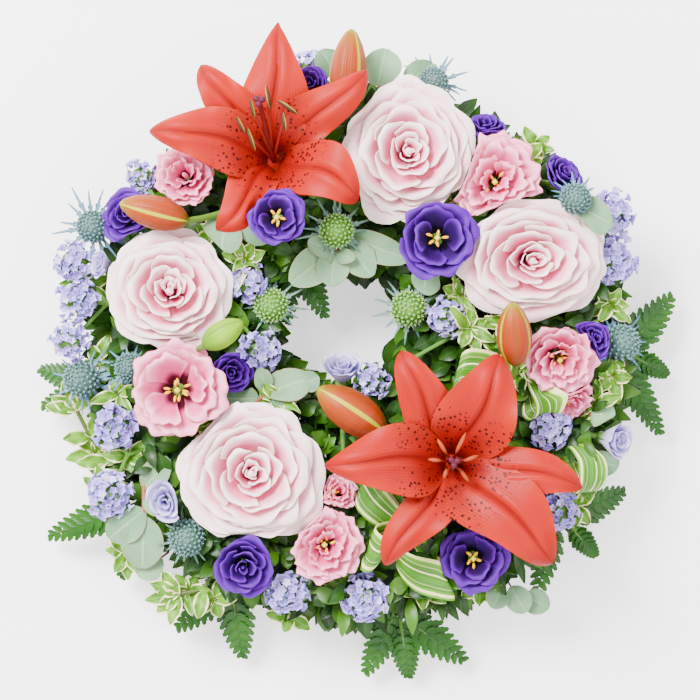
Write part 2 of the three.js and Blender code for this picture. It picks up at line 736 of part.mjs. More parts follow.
// The four garden roses.
const ROSE_DEPTH = 34;
const roses = {
  rose_left: { at: [-111, 37, 90], radius: 36, lean: [0, 0], seed: 11 },
  rose_bottom: { at: [-63, -70, 92], radius: 42, lean: [0, 0], seed: 12 },
  rose_top: { at: [29, 119, 90], radius: 39, oval: [0.97, 1.04], seed: 13 },
  rose_right: { at: [102, 54, 90], radius: 40, oval: [1.12, 0.88], lean: [0.05, -0.12], seed: 14 },
};
for (const [name, rose] of Object.entries(roses)) {
  const foot = topFoot(rose.at[0], rose.at[1]);
  bloomNode(name, ROSE_CREAM, ROSE_RINGS, foot, 3, [{ ...rose, depth: ROSE_DEPTH }]);
}

// The other lisianthus.
bloomNode("pink_b", LISIANTHUS_PINK, PINK_RINGS, topFoot(80, 101), 2, [
  { at: [80, 101, 88], radius: 28, depth: 25, seed: 21 },
]);
bloomNode("pink_e", LISIANTHUS_PINK, PINK_RINGS, topFoot(119, -5), 2, [
  { at: [119, -5, 84], radius: 22, depth: 22, lean: [0.1, -0.25], seed: 22 },
]);
bloomNode("pink_d", LISIANTHUS_PINK, PINK_RINGS, topFoot(-18, -100), 2, [
  { at: [-20, -112, 84], radius: 23, depth: 22, seed: 23 },
  { at: [-15, -80, 78], radius: 13, depth: 16, lean: [0, 0.3], petals: 4, seed: 24 },
], [-18, -100, 56]);
bloomNode("pink_a", LISIANTHUS_PINK, PINK_RINGS, topFoot(-94, 97), 2, [
  { at: [-103, 106, 84], radius: 19, depth: 20, lean: [-0.15, 0.1], seed: 25 },
]);
bloomNode("violet_h", LISIANTHUS_VIOLET, VIOLET_RINGS, topFoot(66, -118), 1.8, [
  { at: [68, -121, 74], radius: 19, depth: 17, seed: 31 },
]);
bloomNode("violet_i", LISIANTHUS_VIOLET, VIOLET_RINGS, topFoot(-92, -12), 1.8, [
  { at: [-75, -12, 72], radius: 14, depth: 15, lean: [0.2, 0], petals: 4, seed: 32 },
]);
bloomNode("violet_d", LISIANTHUS_VIOLET, VIOLET_RINGS, topFoot(98, 96), 1.8, [
  { at: [73, 136, 72], radius: 13, depth: 17, lean: [-0.2, 0.9], petals: 4, seed: 33 },
  { at: [123, 107, 74], radius: 14, depth: 17, lean: [0.6, 0.5], petals: 4, seed: 34 },
], [98, 104, 56]);
bloomNode("violet_c", LISIANTHUS_VIOLET, VIOLET_RINGS, topFoot(-118, 70), 1.8, [
  { at: [-137, 82, 78], radius: 17, depth: 17, lean: [-0.3, 0.1], seed: 35 },
]);
bloomNode("violet_f", LISIANTHUS_VIOLET, VIOLET_RINGS, topFoot(137, 8), 1.8, [
  { at: [137, 8, 76], radius: 12, depth: 14, petals: 4, seed: 36 },
]);
bloomNode("violet_j", LISIANTHUS_VIOLET, VIOLET_RINGS, topFoot(-25, 134), 1.8, [
  { at: [-29, 161, 76], radius: 12, depth: 14, lean: [0, 0.3], petals: 4, seed: 37 },
]);
bloomNode("pale_a", LISIANTHUS_PALE, PALE_RINGS, topFoot(-106, -82), 1.6, [
  { at: [-111, -86, 80], radius: 13, depth: 15, seed: 41 },
]);
bloomNode("pale_b", LISIANTHUS_PALE, PALE_RINGS, topFoot(128, -46), 1.6, [
  { at: [158, -51, 62], radius: 12, depth: 20, lean: [1.1, -0.1], seed: 42 },
]);
bloomNode("pale_c", LISIANTHUS_PALE, PALE_RINGS, topFoot(-8, -92), 1.6, [
  { at: [-10, -4, 66], radius: 12, depth: 20, lean: [0, 1.1], seed: 43 },
]);

// Thistles.
thistle("thistle_a", topFoot(-122, 60), [{ at: [-158, 76, 74], radius: 9, reach: 21, seed: 51 }]);
thistle("thistle_b", topFoot(-136, -8), [
  { at: [-136, -8, 74], radius: 8, reach: 16, seed: 52 },
  { at: [-168, -15, 68], radius: 10, reach: 20, lean: [-0.2, 0], seed: 53 },
], [-136, -8, 56]);
thistle("thistle_c", topFoot(-18, 95), [{ at: [-13, 73, 84], radius: 9.5, reach: 20, seed: 54 }]);
thistle("thistle_d", topFoot(-81, 46), [{ at: [-52, 29, 74], radius: 9.5, reach: 18, seed: 55 }]);
thistle("thistle_e", topFoot(66, 66), [{ at: [30, 27, 74], radius: 10, reach: 19, seed: 56 }]);
thistle("thistle_f", topFoot(40, 131), [{ at: [45, 165, 72], radius: 8, reach: 18, lean: [0, 0.3], seed: 57 }]);
thistle("thistle_g", topFoot(134, 18), [{ at: [163, 7, 66], radius: 10, reach: 22, lean: [0.5, 0], seed: 58 }]);
thistle("thistle_h", topFoot(-97, -97), [{ at: [-102, -109, 76], radius: 10, reach: 16, seed: 59 }]);
thistle("thistle_i", topFoot(112, 80), [{ at: [129, 92, 97], radius: 8.5, reach: 14, lean: [0.2, 0.1], seed: 60 }]);

// Statice. Each clump is [x, y, z, radius].
statice("statice_left", topFoot(-133, 28), [-150, 30, 56], [
  [-169, 55, 66, 12], [-167, 32, 66, 12], [-172, 8, 62, 11],
], 61);
statice("statice_lower_left", topFoot(-124, -56), [-138, -60, 55], [
  [-145, -43, 66, 13], [-148, -84, 66, 13],
], 62);
statice("statice_inner_left", topFoot(-90, 24), [-72, 22, 56], [[-58, 2, 68, 12], [-66, 42, 70, 11]], 63);
statice("statice_right", topFoot(124, 56), [138, 62, 56], [
  [150, 84, 68, 13], [152, 56, 66, 13],
], 64);
statice("statice_south", topFoot(-22, -134), [-16, -142, 56], [
  [-42, -142, 67, 12], [4, -145, 66, 13],
], 65);
statice("statice_inner_right", topFoot(92, 22), [62, 14, 56], [[8, -16, 66, 10], [52, 22, 70, 11]], 66);
statice("statice_lower_right", topFoot(112, -66), [112, -66, 57], [
  [114, -44, 66, 12], [118, -94, 62, 12],
], 67);

// Striped leaves.
function stripedLoops(name, foot, [x, y, z], leaves) {
  const knot = vec(x, y, z);
  const stem = planted(foot, 2.6, [knot.clone().add(vec(0, 0, 2))]);
  const strips = leaves.map(({ over, halfWidth, side }) => loopLeaf(knot, over, halfWidth, side));
  addNode(name, STRIPED_GREEN, strips, [stem]);
}
stripedLoops("loops_south", topFoot(28, -100), [28, -100, 55], [
  { over: [[14, -90, 62], [2, -78, 74], [8, -88, 77], [20, -98, 68]], halfWidth: 9, side: [0.7, 0.7, 0.2] },
  { over: [[16, -106, 64], [4, -112, 74], [12, -118, 76], [22, -108, 66]], halfWidth: 9, side: [0.5, 0.8, 0.2] },
  { over: [[34, -118, 58], [52, -140, 62], [40, -142, 67], [32, -116, 62]], halfWidth: 9, side: [0.9, -0.4, 0.2] },
]);
stripedLoops("loop_right", topFoot(100, -24), [100, -24, 55], [
  { over: [[84, -16, 64], [68, -8, 76], [74, -4, 79], [88, -14, 68]], halfWidth: 9, side: [0.3, 0.9, 0.2] },
]);

// Eucalyptus: round leaves in pairs. Each leaf is [root, tip, half width].
const ROUND_LEAF = { fold: 0.12, wave: 0.8, roundness: 0.55 };
leafyTwig("eucalyptus_top", EUCALYPTUS_GREY, topFoot(-5, 94), [[-5, 72, 58], [-14, 60, 64]], [
  [[-14, 62, 63], [-40, 42, 68], 11],
  [[-14, 62, 63], [-16, 40, 70], 10],
  [[-8, 68, 60], [8, 46, 68], 10],
  [[-5.8, 71, 58.5], [30, 56, 68], 10],
], ROUND_LEAF, [3, 2]);
leafyTwig("eucalyptus_left", EUCALYPTUS_GREY, topFoot(-82, -46), [[-66, -34, 58], [-56, -24, 64]], [
  [[-60, -28, 61.6], [-82, -26, 57], 9],
  [[-57, -25, 63.4], [-28, -14, 67], 11],
  [[-62, -30, 60.4], [-44, -38, 62], 8],
], ROUND_LEAF, [3, 2]);
leafyTwig("eucalyptus_lower_left", EUCALYPTUS_GREY, topFoot(-118, -66), [[-128, -76, 57], [-128, -98, 56]], [
  [[-128, -80, 57], [-112, -62, 60], 9],
  [[-128, -86, 57], [-112, -93, 62], 7],
  [[-128, -93, 57], [-149, -110, 55], 10],
  [[-128, -97, 56], [-129, -126, 54], 11],
], ROUND_LEAF, [3, 2]);

// Small wavy leaves with pale edges, at the sides.
const WAVY_LEAF = { fold: 0.2, wave: 1.6, roundness: 0.8 };
function wavyTwig(name, foot, way, seed) {
  const draw = seeded(seed);
  const leaves = way.flatMap(([x, y, z], k) => {
    const [backX, backY] = way[Math.max(k - 1, 0)];
    const [onX, onY] = way[Math.min(k + 1, way.length - 1)];
    const heading = Math.atan2(onY - backY, onX - backX);
    const turns = [[1.1], [-1.1, 1.1], [-1.1, 0, 1.1]][k === way.length - 1 ? 2 : Math.min(k, 1)];
    return turns.map((turn) => {
      const angle = heading + turn + 0.3 * (draw() - 0.5);
      const long = mix(15, 20, draw());
      return [[x, y, z], [x + long * Math.cos(angle), y + long * Math.sin(angle), z + 5], 4.6];
    });
  });
  leafyTwig(name, LIME_GREEN, foot, way, leaves, WAVY_LEAF, [3, 1]);
}
wavyTwig("wavy_leaves_left", outerFoot(201, 38), [[-150, -64, 38], [-162, -50, 38], [-170, -34, 40]], 71);
wavyTwig("wavy_leaves_south", outerFoot(236, 40), [[-93, -142, 44], [-108, -144, 46]], 72);

// Ferns round the outside. Each tip is [x, y, z, half width, leaflets].
fern("fern_lower_left", outerFoot(214), [[-146, -138, 14, 9, 4], [-192, -112, 14, 10, 5]]);
fern("fern_bottom_left", outerFoot(241), [[-112, -169, 12, 10, 4], [-71, -187, 12, 10, 5]]);
fern("fern_bottom", outerFoot(279), [[4, -197, 12, 9, 4], [66, -189, 12, 10, 5], [31, -200, 12, 9, 4]]);
fern("fern_lower_right", outerFoot(321), [[108, -152, 14, 8, 4], [164, -84, 14, 9, 4], [146, -124, 14, 9, 4]]);
fern("fern_right", outerFoot(0), [[186, -50, 14, 9, 4], [194, 36, 16, 10, 5], [190, -13, 14, 9, 4]]);
fern("fern_left", outerFoot(187), [[-195, -32, 18, 8, 4], [-197, -9, 20, 8, 4]]);
fern("fern_inner", innerFoot(122), [[-44, 18, 26, 7, 3], [-20, 22, 26, 8, 4]]);

// The tray is a channel, and the foam ring stands in it, 0.3 mm clear of its floor.
const trayIn = FOAM_INNER - 0.5;
const trayOut = FOAM_OUTER + 0.5;
const foamBottom = TRAY_FLOOR + 0.3;
const tray = turned([
  [trayIn - TRAY_WALL, 0],
  [trayOut + TRAY_WALL, 0],
  [trayOut + TRAY_WALL, TRAY_HEIGHT],
  [trayOut, TRAY_HEIGHT],
  [trayOut, TRAY_FLOOR],
  [trayIn, TRAY_FLOOR],
  [trayIn, TRAY_HEIGHT],
  [trayIn - TRAY_WALL, TRAY_HEIGHT],
  [trayIn - TRAY_WALL, 0],
], RING_SIDES);
const foamRing = (grow) =>
  toSolid(
    turned([
      [FOAM_INNER - grow, foamBottom - grow],
      [FOAM_OUTER + grow, foamBottom - grow],
      [FOAM_OUTER + grow, FOAM_TOP - FOAM_CHAMFER],
      [FOAM_OUTER - FOAM_CHAMFER, FOAM_TOP + grow],
      [FOAM_INNER + FOAM_CHAMFER, FOAM_TOP + grow],
      [FOAM_INNER - grow, FOAM_TOP - FOAM_CHAMFER],
      [FOAM_INNER - grow, foamBottom - grow],
    ], RING_SIDES),
  );
const foam = foamRing(0).subtract(fuse(holes.map((hole) => hole(0))));

// Each node: its petals and leaves are kept clear of all other stems and of what lies over them.
const stemRooms = nodes.map(({ stems }) => (stems.length ? fuse(stems.map((stem) => stem(GAP))) : null));
const trayRoom = toSolid(turned([
  [trayIn - TRAY_WALL - GAP, -1],
  [trayOut + TRAY_WALL + GAP, -1],
  [trayOut + TRAY_WALL + GAP, TRAY_HEIGHT + GAP],
  [trayIn - TRAY_WALL - GAP, TRAY_HEIGHT + GAP],
  [trayIn - TRAY_WALL - GAP, -1],
], RING_SIDES));
const foamRoom = foamRing(GAP);

function meets(a, b) {
  const one = a.boundingBox();
  const other = b.boundingBox();
  const apart = [0, 1, 2].some((k) => one.max[k] < other.min[k] || other.max[k] < one.min[k]);
  return !apart && a.intersect(b).volume() > 0;
}

const group = new THREE.Group();

function addMesh(name, look, geometry) {
  const mesh = new THREE.Mesh(geometry, new THREE.MeshStandardMaterial(look));
  mesh.name = name;
  group.add(mesh);
}

addMesh("base_tray", TRAY_GREEN, toGeometry(toSolid(tray)));
addMesh("foam_ring", FOAM_GREEN, toGeometry(foam));

const bodyRooms = [];
nodes.forEach(({ name, finish: look, soft, stems }, index) => {
  let body = fuse(soft.map((piece) => piece(0)));
  const keepOut = [foamRoom, trayRoom, ...bodyRooms, ...stemRooms.filter((_, k) => k !== index)];
  for (const room of keepOut) {
    if (room && meets(body, room)) {
      body = body.subtract(room);
    }
  }
  bodyRooms.push(fuse(soft.map((piece) => piece(GAP))));
  const whole = fuse([body, ...stems.map((stem) => stem(0))]);
  addMesh(name, look, toGeometry(largestBody(whole)));
});

export default group;
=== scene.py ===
import math
import random

import bpy
import numpy as np
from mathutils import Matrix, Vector


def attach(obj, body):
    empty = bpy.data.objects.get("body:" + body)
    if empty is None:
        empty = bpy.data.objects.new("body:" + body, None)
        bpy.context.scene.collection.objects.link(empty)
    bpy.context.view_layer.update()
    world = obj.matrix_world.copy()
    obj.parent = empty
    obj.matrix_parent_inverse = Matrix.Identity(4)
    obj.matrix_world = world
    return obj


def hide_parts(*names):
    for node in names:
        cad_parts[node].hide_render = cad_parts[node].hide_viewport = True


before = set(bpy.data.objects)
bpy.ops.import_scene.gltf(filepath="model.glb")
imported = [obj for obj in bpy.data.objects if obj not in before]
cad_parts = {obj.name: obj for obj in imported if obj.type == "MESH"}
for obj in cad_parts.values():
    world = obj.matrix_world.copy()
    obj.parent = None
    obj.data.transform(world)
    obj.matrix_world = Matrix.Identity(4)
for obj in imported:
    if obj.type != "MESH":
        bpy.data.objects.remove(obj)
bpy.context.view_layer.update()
bpy.ops.object.select_all(action="DESELECT")


# The tray: a dark green plastic channel, moulded in one piece, that the foam stands in.
# It is a ring of wall sections, drawn from its outer foot up over the rim and back inside.
MM = 0.001
RING_SIDES = 96
TRAY_OUTSIDE = 152.5
TRAY_INSIDE = 77.5
TRAY_HIGH = 14.0
TRAY_WALL = 2.0
TRAY_STEPS = [
    (TRAY_OUTSIDE, 0.0), (TRAY_OUTSIDE, TRAY_HIGH),
    (TRAY_OUTSIDE - TRAY_WALL, TRAY_HIGH), (TRAY_OUTSIDE - TRAY_WALL, TRAY_WALL),
    (TRAY_INSIDE + TRAY_WALL, TRAY_WALL), (TRAY_INSIDE + TRAY_WALL, TRAY_HIGH),
    (TRAY_INSIDE, TRAY_HIGH), (TRAY_INSIDE, 0.0)]


def stepped_ring(name, steps):
    """A ring whose wall follows [radius, height] steps in millimetres and closes on itself."""
    foot_radius, foot_height = steps[0]
    bpy.ops.mesh.primitive_circle_add(
        vertices=RING_SIDES, radius=foot_radius * MM, location=(0, 0, foot_height * MM))
    ring = bpy.context.object
    ring.name = name
    bpy.ops.object.transform_apply(location=True)
    bpy.ops.object.mode_set(mode="EDIT")
    bpy.ops.mesh.select_mode(type="VERT")
    bpy.ops.mesh.select_all(action="SELECT")
    for (old_radius, old_height), (radius, height) in zip(steps, steps[1:] + steps[:1]):
        rise = (height - old_height) * MM
        wider = radius / old_radius
        bpy.ops.mesh.extrude_region_move(TRANSFORM_OT_translate={"value": (0, 0, rise)})
        bpy.ops.transform.resize(value=(wider, wider, 1))
    bpy.ops.mesh.select_all(action="SELECT")
    bpy.ops.mesh.remove_doubles(threshold=1e-5)
    bpy.ops.mesh.normals_make_consistent(inside=False)
    bpy.ops.object.mode_set(mode="OBJECT")
    edge = ring.modifiers.new("rounded rims", "BEVEL")
    edge.width = 0.4 * MM
    edge.segments = 2
    bpy.ops.object.modifier_apply(modifier=edge.name)
    bpy.ops.object.shade_smooth_by_angle(angle=math.radians(40))
    ring.select_set(False)
    return ring


def principled(name, roughness, **sockets):
    """A new material, its node tree and its shader, with sheen, coat and the like set as plain numbers."""
    material = bpy.data.materials.new(name)
    material.use_nodes = True
    shader = material.node_tree.nodes["Principled BSDF"]
    shader.inputs["Roughness"].default_value = roughness
    shader.inputs["Specular IOR Level"].default_value = 0.3
    for socket, value in sockets.items():
        shader.inputs[socket.replace("_", " ")].default_value = value
    return material, material.node_tree, shader


def colour(text):
    """A written sRGB colour as linear light, with full alpha."""
    parts = [int(text[k:k + 2], 16) / 255 for k in (0, 2, 4)]
    return [p / 12.92 if p <= 0.04045 else ((p + 0.055) / 1.055) ** 2.4 for p in parts] + [1]


def node(tree, kind, inputs=None, **settings):
    """One shader node. An input is a plain value, or the output of another node."""
    made = tree.nodes.new(kind)
    for key, value in settings.items():
        setattr(made, key, value)
    for key, value in (inputs or {}).items():
        if isinstance(value, bpy.types.NodeSocket):
            tree.links.new(value, made.inputs[key])
        else:
            made.inputs[key].default_value = colour(value) if isinstance(value, str) else value
    return made


def ramp(tree, value, stops, interpolation="LINEAR"):
    """A colour ramp over a value, with stops as [place, colour] in rising order."""
    made = node(tree, "ShaderNodeValToRGB", {"Fac": value})
    made.color_ramp.interpolation = interpolation
    elements = made.color_ramp.elements
    elements[0].position, elements[1].position = stops[0][0], stops[-1][0]
    for place, _ in stops[1:-1]:
        elements.new(place)
    for element, (_, text) in zip(elements, stops):
        element.color = colour(text)
    return made.outputs["Color"]


def shared_effect(name, inputs, outputs):
    """A shader group for several finishes, with its inner ends. An input starts as a number or a colour."""
    group = bpy.data.node_groups.new(name, "ShaderNodeTree")
    for label, start in inputs.items():
        kind = "NodeSocketColor" if isinstance(start, str) else "NodeSocketFloat"
        socket = group.interface.new_socket(label, in_out="INPUT", socket_type=kind)
        socket.default_value = colour(start) if isinstance(start, str) else start
    for label, kind in outputs.items():
        group.interface.new_socket(label, in_out="OUTPUT", socket_type="NodeSocket" + kind)
    return group, node(group, "NodeGroupInput").outputs, node(group, "NodeGroupOutput").inputs


def effect(tree, group, **inputs):
    """The outputs of a shared effect, used in one finish."""
    given = {label.replace("_", " "): value for label, value in inputs.items()}
    return node(tree, "ShaderNodeGroup", given, node_tree=group).outputs


clouds, given, ends = shared_effect("clouds", {"Scale": 60.0}, {"Value": "Float"})
spot = node(clouds, "ShaderNodeTexCoord").outputs["Object"]
grains = node(clouds, "ShaderNodeTexNoise", {"Vector": spot, "Scale": given["Scale"], "Detail": 3.0})
clouds.links.new(grains.outputs["Fac"], ends["Value"])


def noise(tree, scale):
    """Cloudy noise in the object's own coordinates, in grains per metre."""
    return effect(tree, clouds, Scale=float(scale))["Value"]


def bumped(tree, shader, height, distance, strength=0.6):
    bump = node(tree, "ShaderNodeBump", {"Height": height, "Distance": distance, "Strength": strength})
    tree.links.new(bump.outputs["Normal"], shader.inputs["Normal"])


def painted(tree, shader, paint):
    tree.links.new(paint, shader.inputs["Base Color"])


def put_on(piece, material, slot, *nodes):
    """The finish, and the nodes that the piece stands for. Every piece is part of the one body."""
    piece.data.materials.clear()
    piece.data.materials.append(material)
    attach(piece, "root")
    if nodes:
        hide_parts(*nodes)


tray_plastic, tree, shader = principled("tray plastic", 0.42)
painted(tree, shader, ramp(tree, noise(tree, 60), [(0.3, "16301c"), (0.7, "22432a")]))
bumped(tree, shader, noise(tree, 1800), 0.00008)
put_on(stepped_ring("tray", TRAY_STEPS), tray_plastic, "tray_plastic", "base_tray")


# The foam: a soaked ring of fine open cells, dark green, with softly rounded shoulders.
# The stems are pushed into it, and foliage hides nearly all of it.
FOAM_OUTSIDE = 150
FOAM_INSIDE = 80
FOAM_GAP = 0.2
FOAM_STEPS = [
    (FOAM_OUTSIDE - FOAM_GAP, 2.6), (FOAM_OUTSIDE - FOAM_GAP, 40.0), (147.0, 46.0), (141.0, 49.6),
    (89.0, 49.6), (83.0, 46.0), (FOAM_INSIDE + FOAM_GAP, 40.0), (FOAM_INSIDE + FOAM_GAP, 2.6)]
foam_cells, tree, shader = principled("wet foam", 0.85)
spot = node(tree, "ShaderNodeTexCoord").outputs["Object"]
cells = node(tree, "ShaderNodeTexVoronoi", {"Vector": spot, "Scale": 1400.0})
painted(tree, shader, ramp(tree, noise(tree, 90), [(0.3, "172c14"), (0.7, "26431f")]))
bumped(tree, shader, cells.outputs["Distance"], 0.0004)
put_on(stepped_ring("foam", FOAM_STEPS), foam_cells, "floral_foam", "foam_ring")


# The lilies: six thick, waxy tepals each, the three inner ones broad and the three outer ones narrow.
# They rise out of the throat, arch over and droop, with a groove along the rib and rolled tips.
# The throat sits on a stem that is pushed into the foam.
def unit(way):
    return np.asarray(way, float) / np.linalg.norm(way)


def mixed(a, b, t):
    return a + (b - a) * t


flat_sheets = {}


def flat_sheet(along, across):
    """A grid primitive of along by across faces, as how far each corner lies along and across it."""
    if (along, across) not in flat_sheets:
        bpy.ops.mesh.primitive_grid_add(x_subdivisions=along, y_subdivisions=across, size=2)
        grid = bpy.context.object
        corners = np.array([v.co[:2] for v in grid.data.vertices])
        faces = np.array([p.vertices[:] for p in grid.data.polygons])
        bpy.ops.object.delete()
        flat_sheets[along, across] = (corners[:, 0] + 1) / 2, corners[:, 1], faces
    return flat_sheets[along, across]


def sheet(along, across, surface, tone=0.0):
    """A petal or leaf, as corners in millimetres, faces, places on it, and a tone.

    The tone is a number that the finish reads, to tell a plant's parts or its petals apart.
    """
    u, v, faces = flat_sheet(along, across)
    return surface(u, v), faces, u, (v + 1) / 2, tone


def tube(points, radii, sides=6, tone=0.0):
    """A stem or filament round a line of points, closed at both ends, with tone as for a sheet."""
    points = np.asarray(points, float)
    radii = np.broadcast_to(radii, len(points))
    ways = np.gradient(points, axis=0)
    ways /= np.linalg.norm(ways, axis=1)[:, None]
    up = np.array([1.0, 0, 0]) if abs(ways[0][2]) > 0.9 else np.array([0, 0, 1.0])
    angles = 2 * math.pi * np.arange(sides) / sides
    corners, along, around = [], [], []
    for k, (point, way, radius) in enumerate(zip(points, ways, radii)):
        up = unit(up - way * up.dot(way))
        side = np.cross(way, up)
        corners.append(point + radius * (np.outer(np.cos(angles), up) + np.outer(np.sin(angles), side)))
        along += [k / (len(points) - 1)] * sides
        around += list(angles / (2 * math.pi))
    faces = []
    for k in range(len(points) - 1):
        for j in range(sides):
            a, b = k * sides + j, k * sides + (j + 1) % sides
            faces.append((a, a + sides, b + sides, b)[::-1])
    faces.append(tuple(range(sides))[::-1])
    faces.append(tuple(range((len(points) - 1) * sides, len(points) * sides)))
    return np.vstack(corners), faces, np.array(along), np.array(around), tone


def grown(name, parts, thickness=0.0):
    """One mesh of many petals, leaves or stems. A thickness in millimetres makes sheets solid."""
    starts = np.cumsum([0] + [len(part[0]) for part in parts])
    corners = np.vstack([part[0] for part in parts]) * MM
    faces = [
        tuple(int(corner) + int(start) for corner in face)
        for part, start in zip(parts, starts) for face in part[1]]
    mesh = bpy.data.meshes.new(name)
    mesh.from_pydata(corners.tolist(), [], faces)
    places = np.column_stack([np.concatenate([part[k] for part in parts]) for k in (2, 3)])
    corner_of = np.zeros(len(mesh.loops), np.int32)
    mesh.loops.foreach_get("vertex_index", corner_of)
    mesh.uv_layers.new(name="place").data.foreach_set("uv", places[corner_of].astype(np.float32).ravel())
    tones = np.concatenate([np.full(len(part[0]), part[4], np.float32) for part in parts])
    mesh.attributes.new("tone", "FLOAT", "POINT").data.foreach_set("value", tones)
    piece = bpy.data.objects.new(name, mesh)
    bpy.context.scene.collection.objects.link(piece)
    bpy.context.view_layer.objects.active = piece
    piece.select_set(True)
    if thickness:
        wall = piece.modifiers.new("sheet", "SOLIDIFY")
        wall.thickness = thickness * MM
        wall.offset = 0
        bpy.ops.object.modifier_apply(modifier=wall.name)
    bpy.ops.object.shade_smooth_by_angle(angle=math.radians(60))
    piece.select_set(False)
    return piece


def joined(name, *pieces):
    """Sheets and solid parts of one plant, as one piece."""
    for piece in pieces:
        piece.select_set(True)
    bpy.context.view_layer.objects.active = pieces[0]
    bpy.ops.object.join()
    pieces[0].name = name
    pieces[0].data.name = name
    pieces[0].select_set(False)
    return pieces[0]


# The rooms that blooms take up: a later petal or leaf is bent clear of them.
rooms = []


def take_room(centre, axes, radii):
    """An egg-shaped room, with three axes and how far it reaches along each."""
    rooms.append((np.asarray(centre, float), np.asarray(axes, float), np.asarray(radii, float)))


def bent_clear(points):
    """Points moved out of every room, softly, along the line from its centre."""
    points = points.copy()
    for centre, axes, radii in rooms:
        offset = points - centre
        reach = np.linalg.norm(offset @ axes.T / radii, axis=1)
        near = reach < 1.5
        if near.any():
            pushed = (1 + reach[near] ** 6) ** (1 / 6)
            grown_by = pushed / np.maximum(reach[near], 0.05)
            points[near] = centre + offset[near] * grown_by[:, None]
    return points


def crowded(*points):
    """Whether one of these points lies deep in a bloom's room, where a leaf would be bent too far."""
    return any(
        np.linalg.norm((np.asarray(point) - centre) @ axes.T / radii) < 0.92
        for point in points for centre, axes, radii in rooms)


def curve_points(corners, shares):
    """Points of a smooth cubic curve with four corners."""
    a, b, c, d = (np.asarray(corner, float) for corner in corners)
    t = np.asarray(shares)[:, None]
    return a * (1 - t) ** 3 + 3 * b * t * (1 - t) ** 2 + 3 * c * t ** 2 * (1 - t) + d * t ** 3


UPRIGHT = np.eye(3)
THROAT_DEPTH = 8
THROAT_RADIUS = 3.4
TUBE_HEIGHT = 20
ARCH = 17
WIDE_TEPAL = 15
PETAL_WALL = 0.9
STEM_END = 36


def out_of_foam(foot, height=53):
    """The first two points of a stem: its end in the foam, and where it comes out."""
    return [(*foot, STEM_END), (*foot, height)]


def tepal(throat, tip, half_width, bow, pointed, seed):
    """A tepal's surface, and its middle line for the room that it takes. A bow bends it sideways."""
    root = np.array([throat[0], throat[1], throat[2] - THROAT_DEPTH], float)
    out = np.array([tip[0] - root[0], tip[1] - root[1]])
    length = np.linalg.norm(out)
    way = np.array([*(out / length), 0])
    side = np.array([-way[1], way[0], 0])
    root += THROAT_RADIUS * way
    rise = tip[2] - root[2]
    near = root + 0.1 * length * way + [0, 0, TUBE_HEIGHT]
    far = root + 0.62 * length * way + bow * side + [0, 0, rise + ARCH]
    bends = [root, near, far, np.array(tip, float)]
    broad = half_width >= WIDE_TEPAL

    def surface(u, v):
        belly = np.sin(math.pi * mixed(0.0, 0.93, u ** 0.8))
        blunt = belly ** 0.85 * np.maximum(1 - u ** 14, 0) ** 0.5
        lance = np.maximum(np.sin(math.pi * u ** 0.757), 0) ** 1.25
        wide = half_width * mixed(blunt, lance, pointed) + 2.2 * (1 - u) + 0.2
        over = (3 if broad else -1.5) * belly
        cupped = mixed(0.55, -0.5, u) * wide * v ** 2
        edge = v ** 2 * np.minimum(4 * u, 1)
        broad_wave = 3.4 * np.sin(6 * u + 2.1 * seed + 0.8 * v) * v
        fine_wave = 1.3 * np.sin(15 * u + seed + 2 * v)
        wave = (broad_wave + fine_wave) * edge * belly
        wide = wide * (1 + 0.07 * np.sin(8 * u + 1.7 * seed + 1.5 * np.sign(v)))
        ends = np.minimum(1, 5 * (1 - u)) * np.minimum(1, 6 * u)
        groove = -1.6 * np.exp(-((v * wide / 1.7) ** 2)) * ends
        shoulders = 0.8 * np.exp(-(((np.abs(v) * wide - 4.5) / 2.4) ** 2)) * belly
        rolled = -26 * np.maximum(u - 0.8, 0) ** 1.5
        swayed = 2.5 * np.sin(2 * math.pi * u + seed) * belly
        points = curve_points(bends, u) + side * (wide * v + swayed)[:, None]
        points -= way * (34 * np.maximum(u - 0.88, 0) ** 1.5)[:, None]
        points[:, 2] += cupped + wave + over + groove + shoulders + rolled
        return bent_clear(points)

    return surface, bends, side


def lily(name, throat, foot, tips):
    """Six tepals, each given as its tip, half width, bow and how pointed it is."""
    petals = []
    shapes = []
    for k, (x, y, z, half_width, bow, pointed) in enumerate(tips):
        surface, bends, side = tepal(throat, (x, y, z), half_width, bow, pointed, k)
        petals.append(sheet(46, 24, surface, tone=k / 5))
        shapes.append((bends, side, half_width))
    low = np.array([throat[0], throat[1], throat[2] - THROAT_DEPTH - 12.0])
    cone = tube([low + [0, 0, high] for high in (0, 2, 6, 12, 15)], [2.6, 4.2, 5.6, 6.4, 3.5], 16)
    stem = tube([*out_of_foam(foot, 52), low + [0, 0, 1]], 3.0, 10)
    flower = joined(name, grown(name, petals, PETAL_WALL), grown("core", [cone, stem]))
    for bends, side, half_width in shapes:
        near, middle, far = curve_points(bends, [0.2, 0.6, 1])
        long = unit(far - near)
        up = unit(np.cross(long, side))
        up *= np.sign(up[2])
        reach = np.linalg.norm(far - near) / 2 + 5
        take_room(middle + 9 * up, [long, side, up], [reach, min(half_width, 18) + 2, 11.5])
    take_room([throat[0], throat[1], throat[2] - 6], UPRIGHT, [9, 9, 16])
    return flower


# The violet bloom on the top lily's lower petals takes its room first, so that they bend under it.
take_room([-47, 79, 104.4], UPRIGHT, [16.8, 16.8, 11])

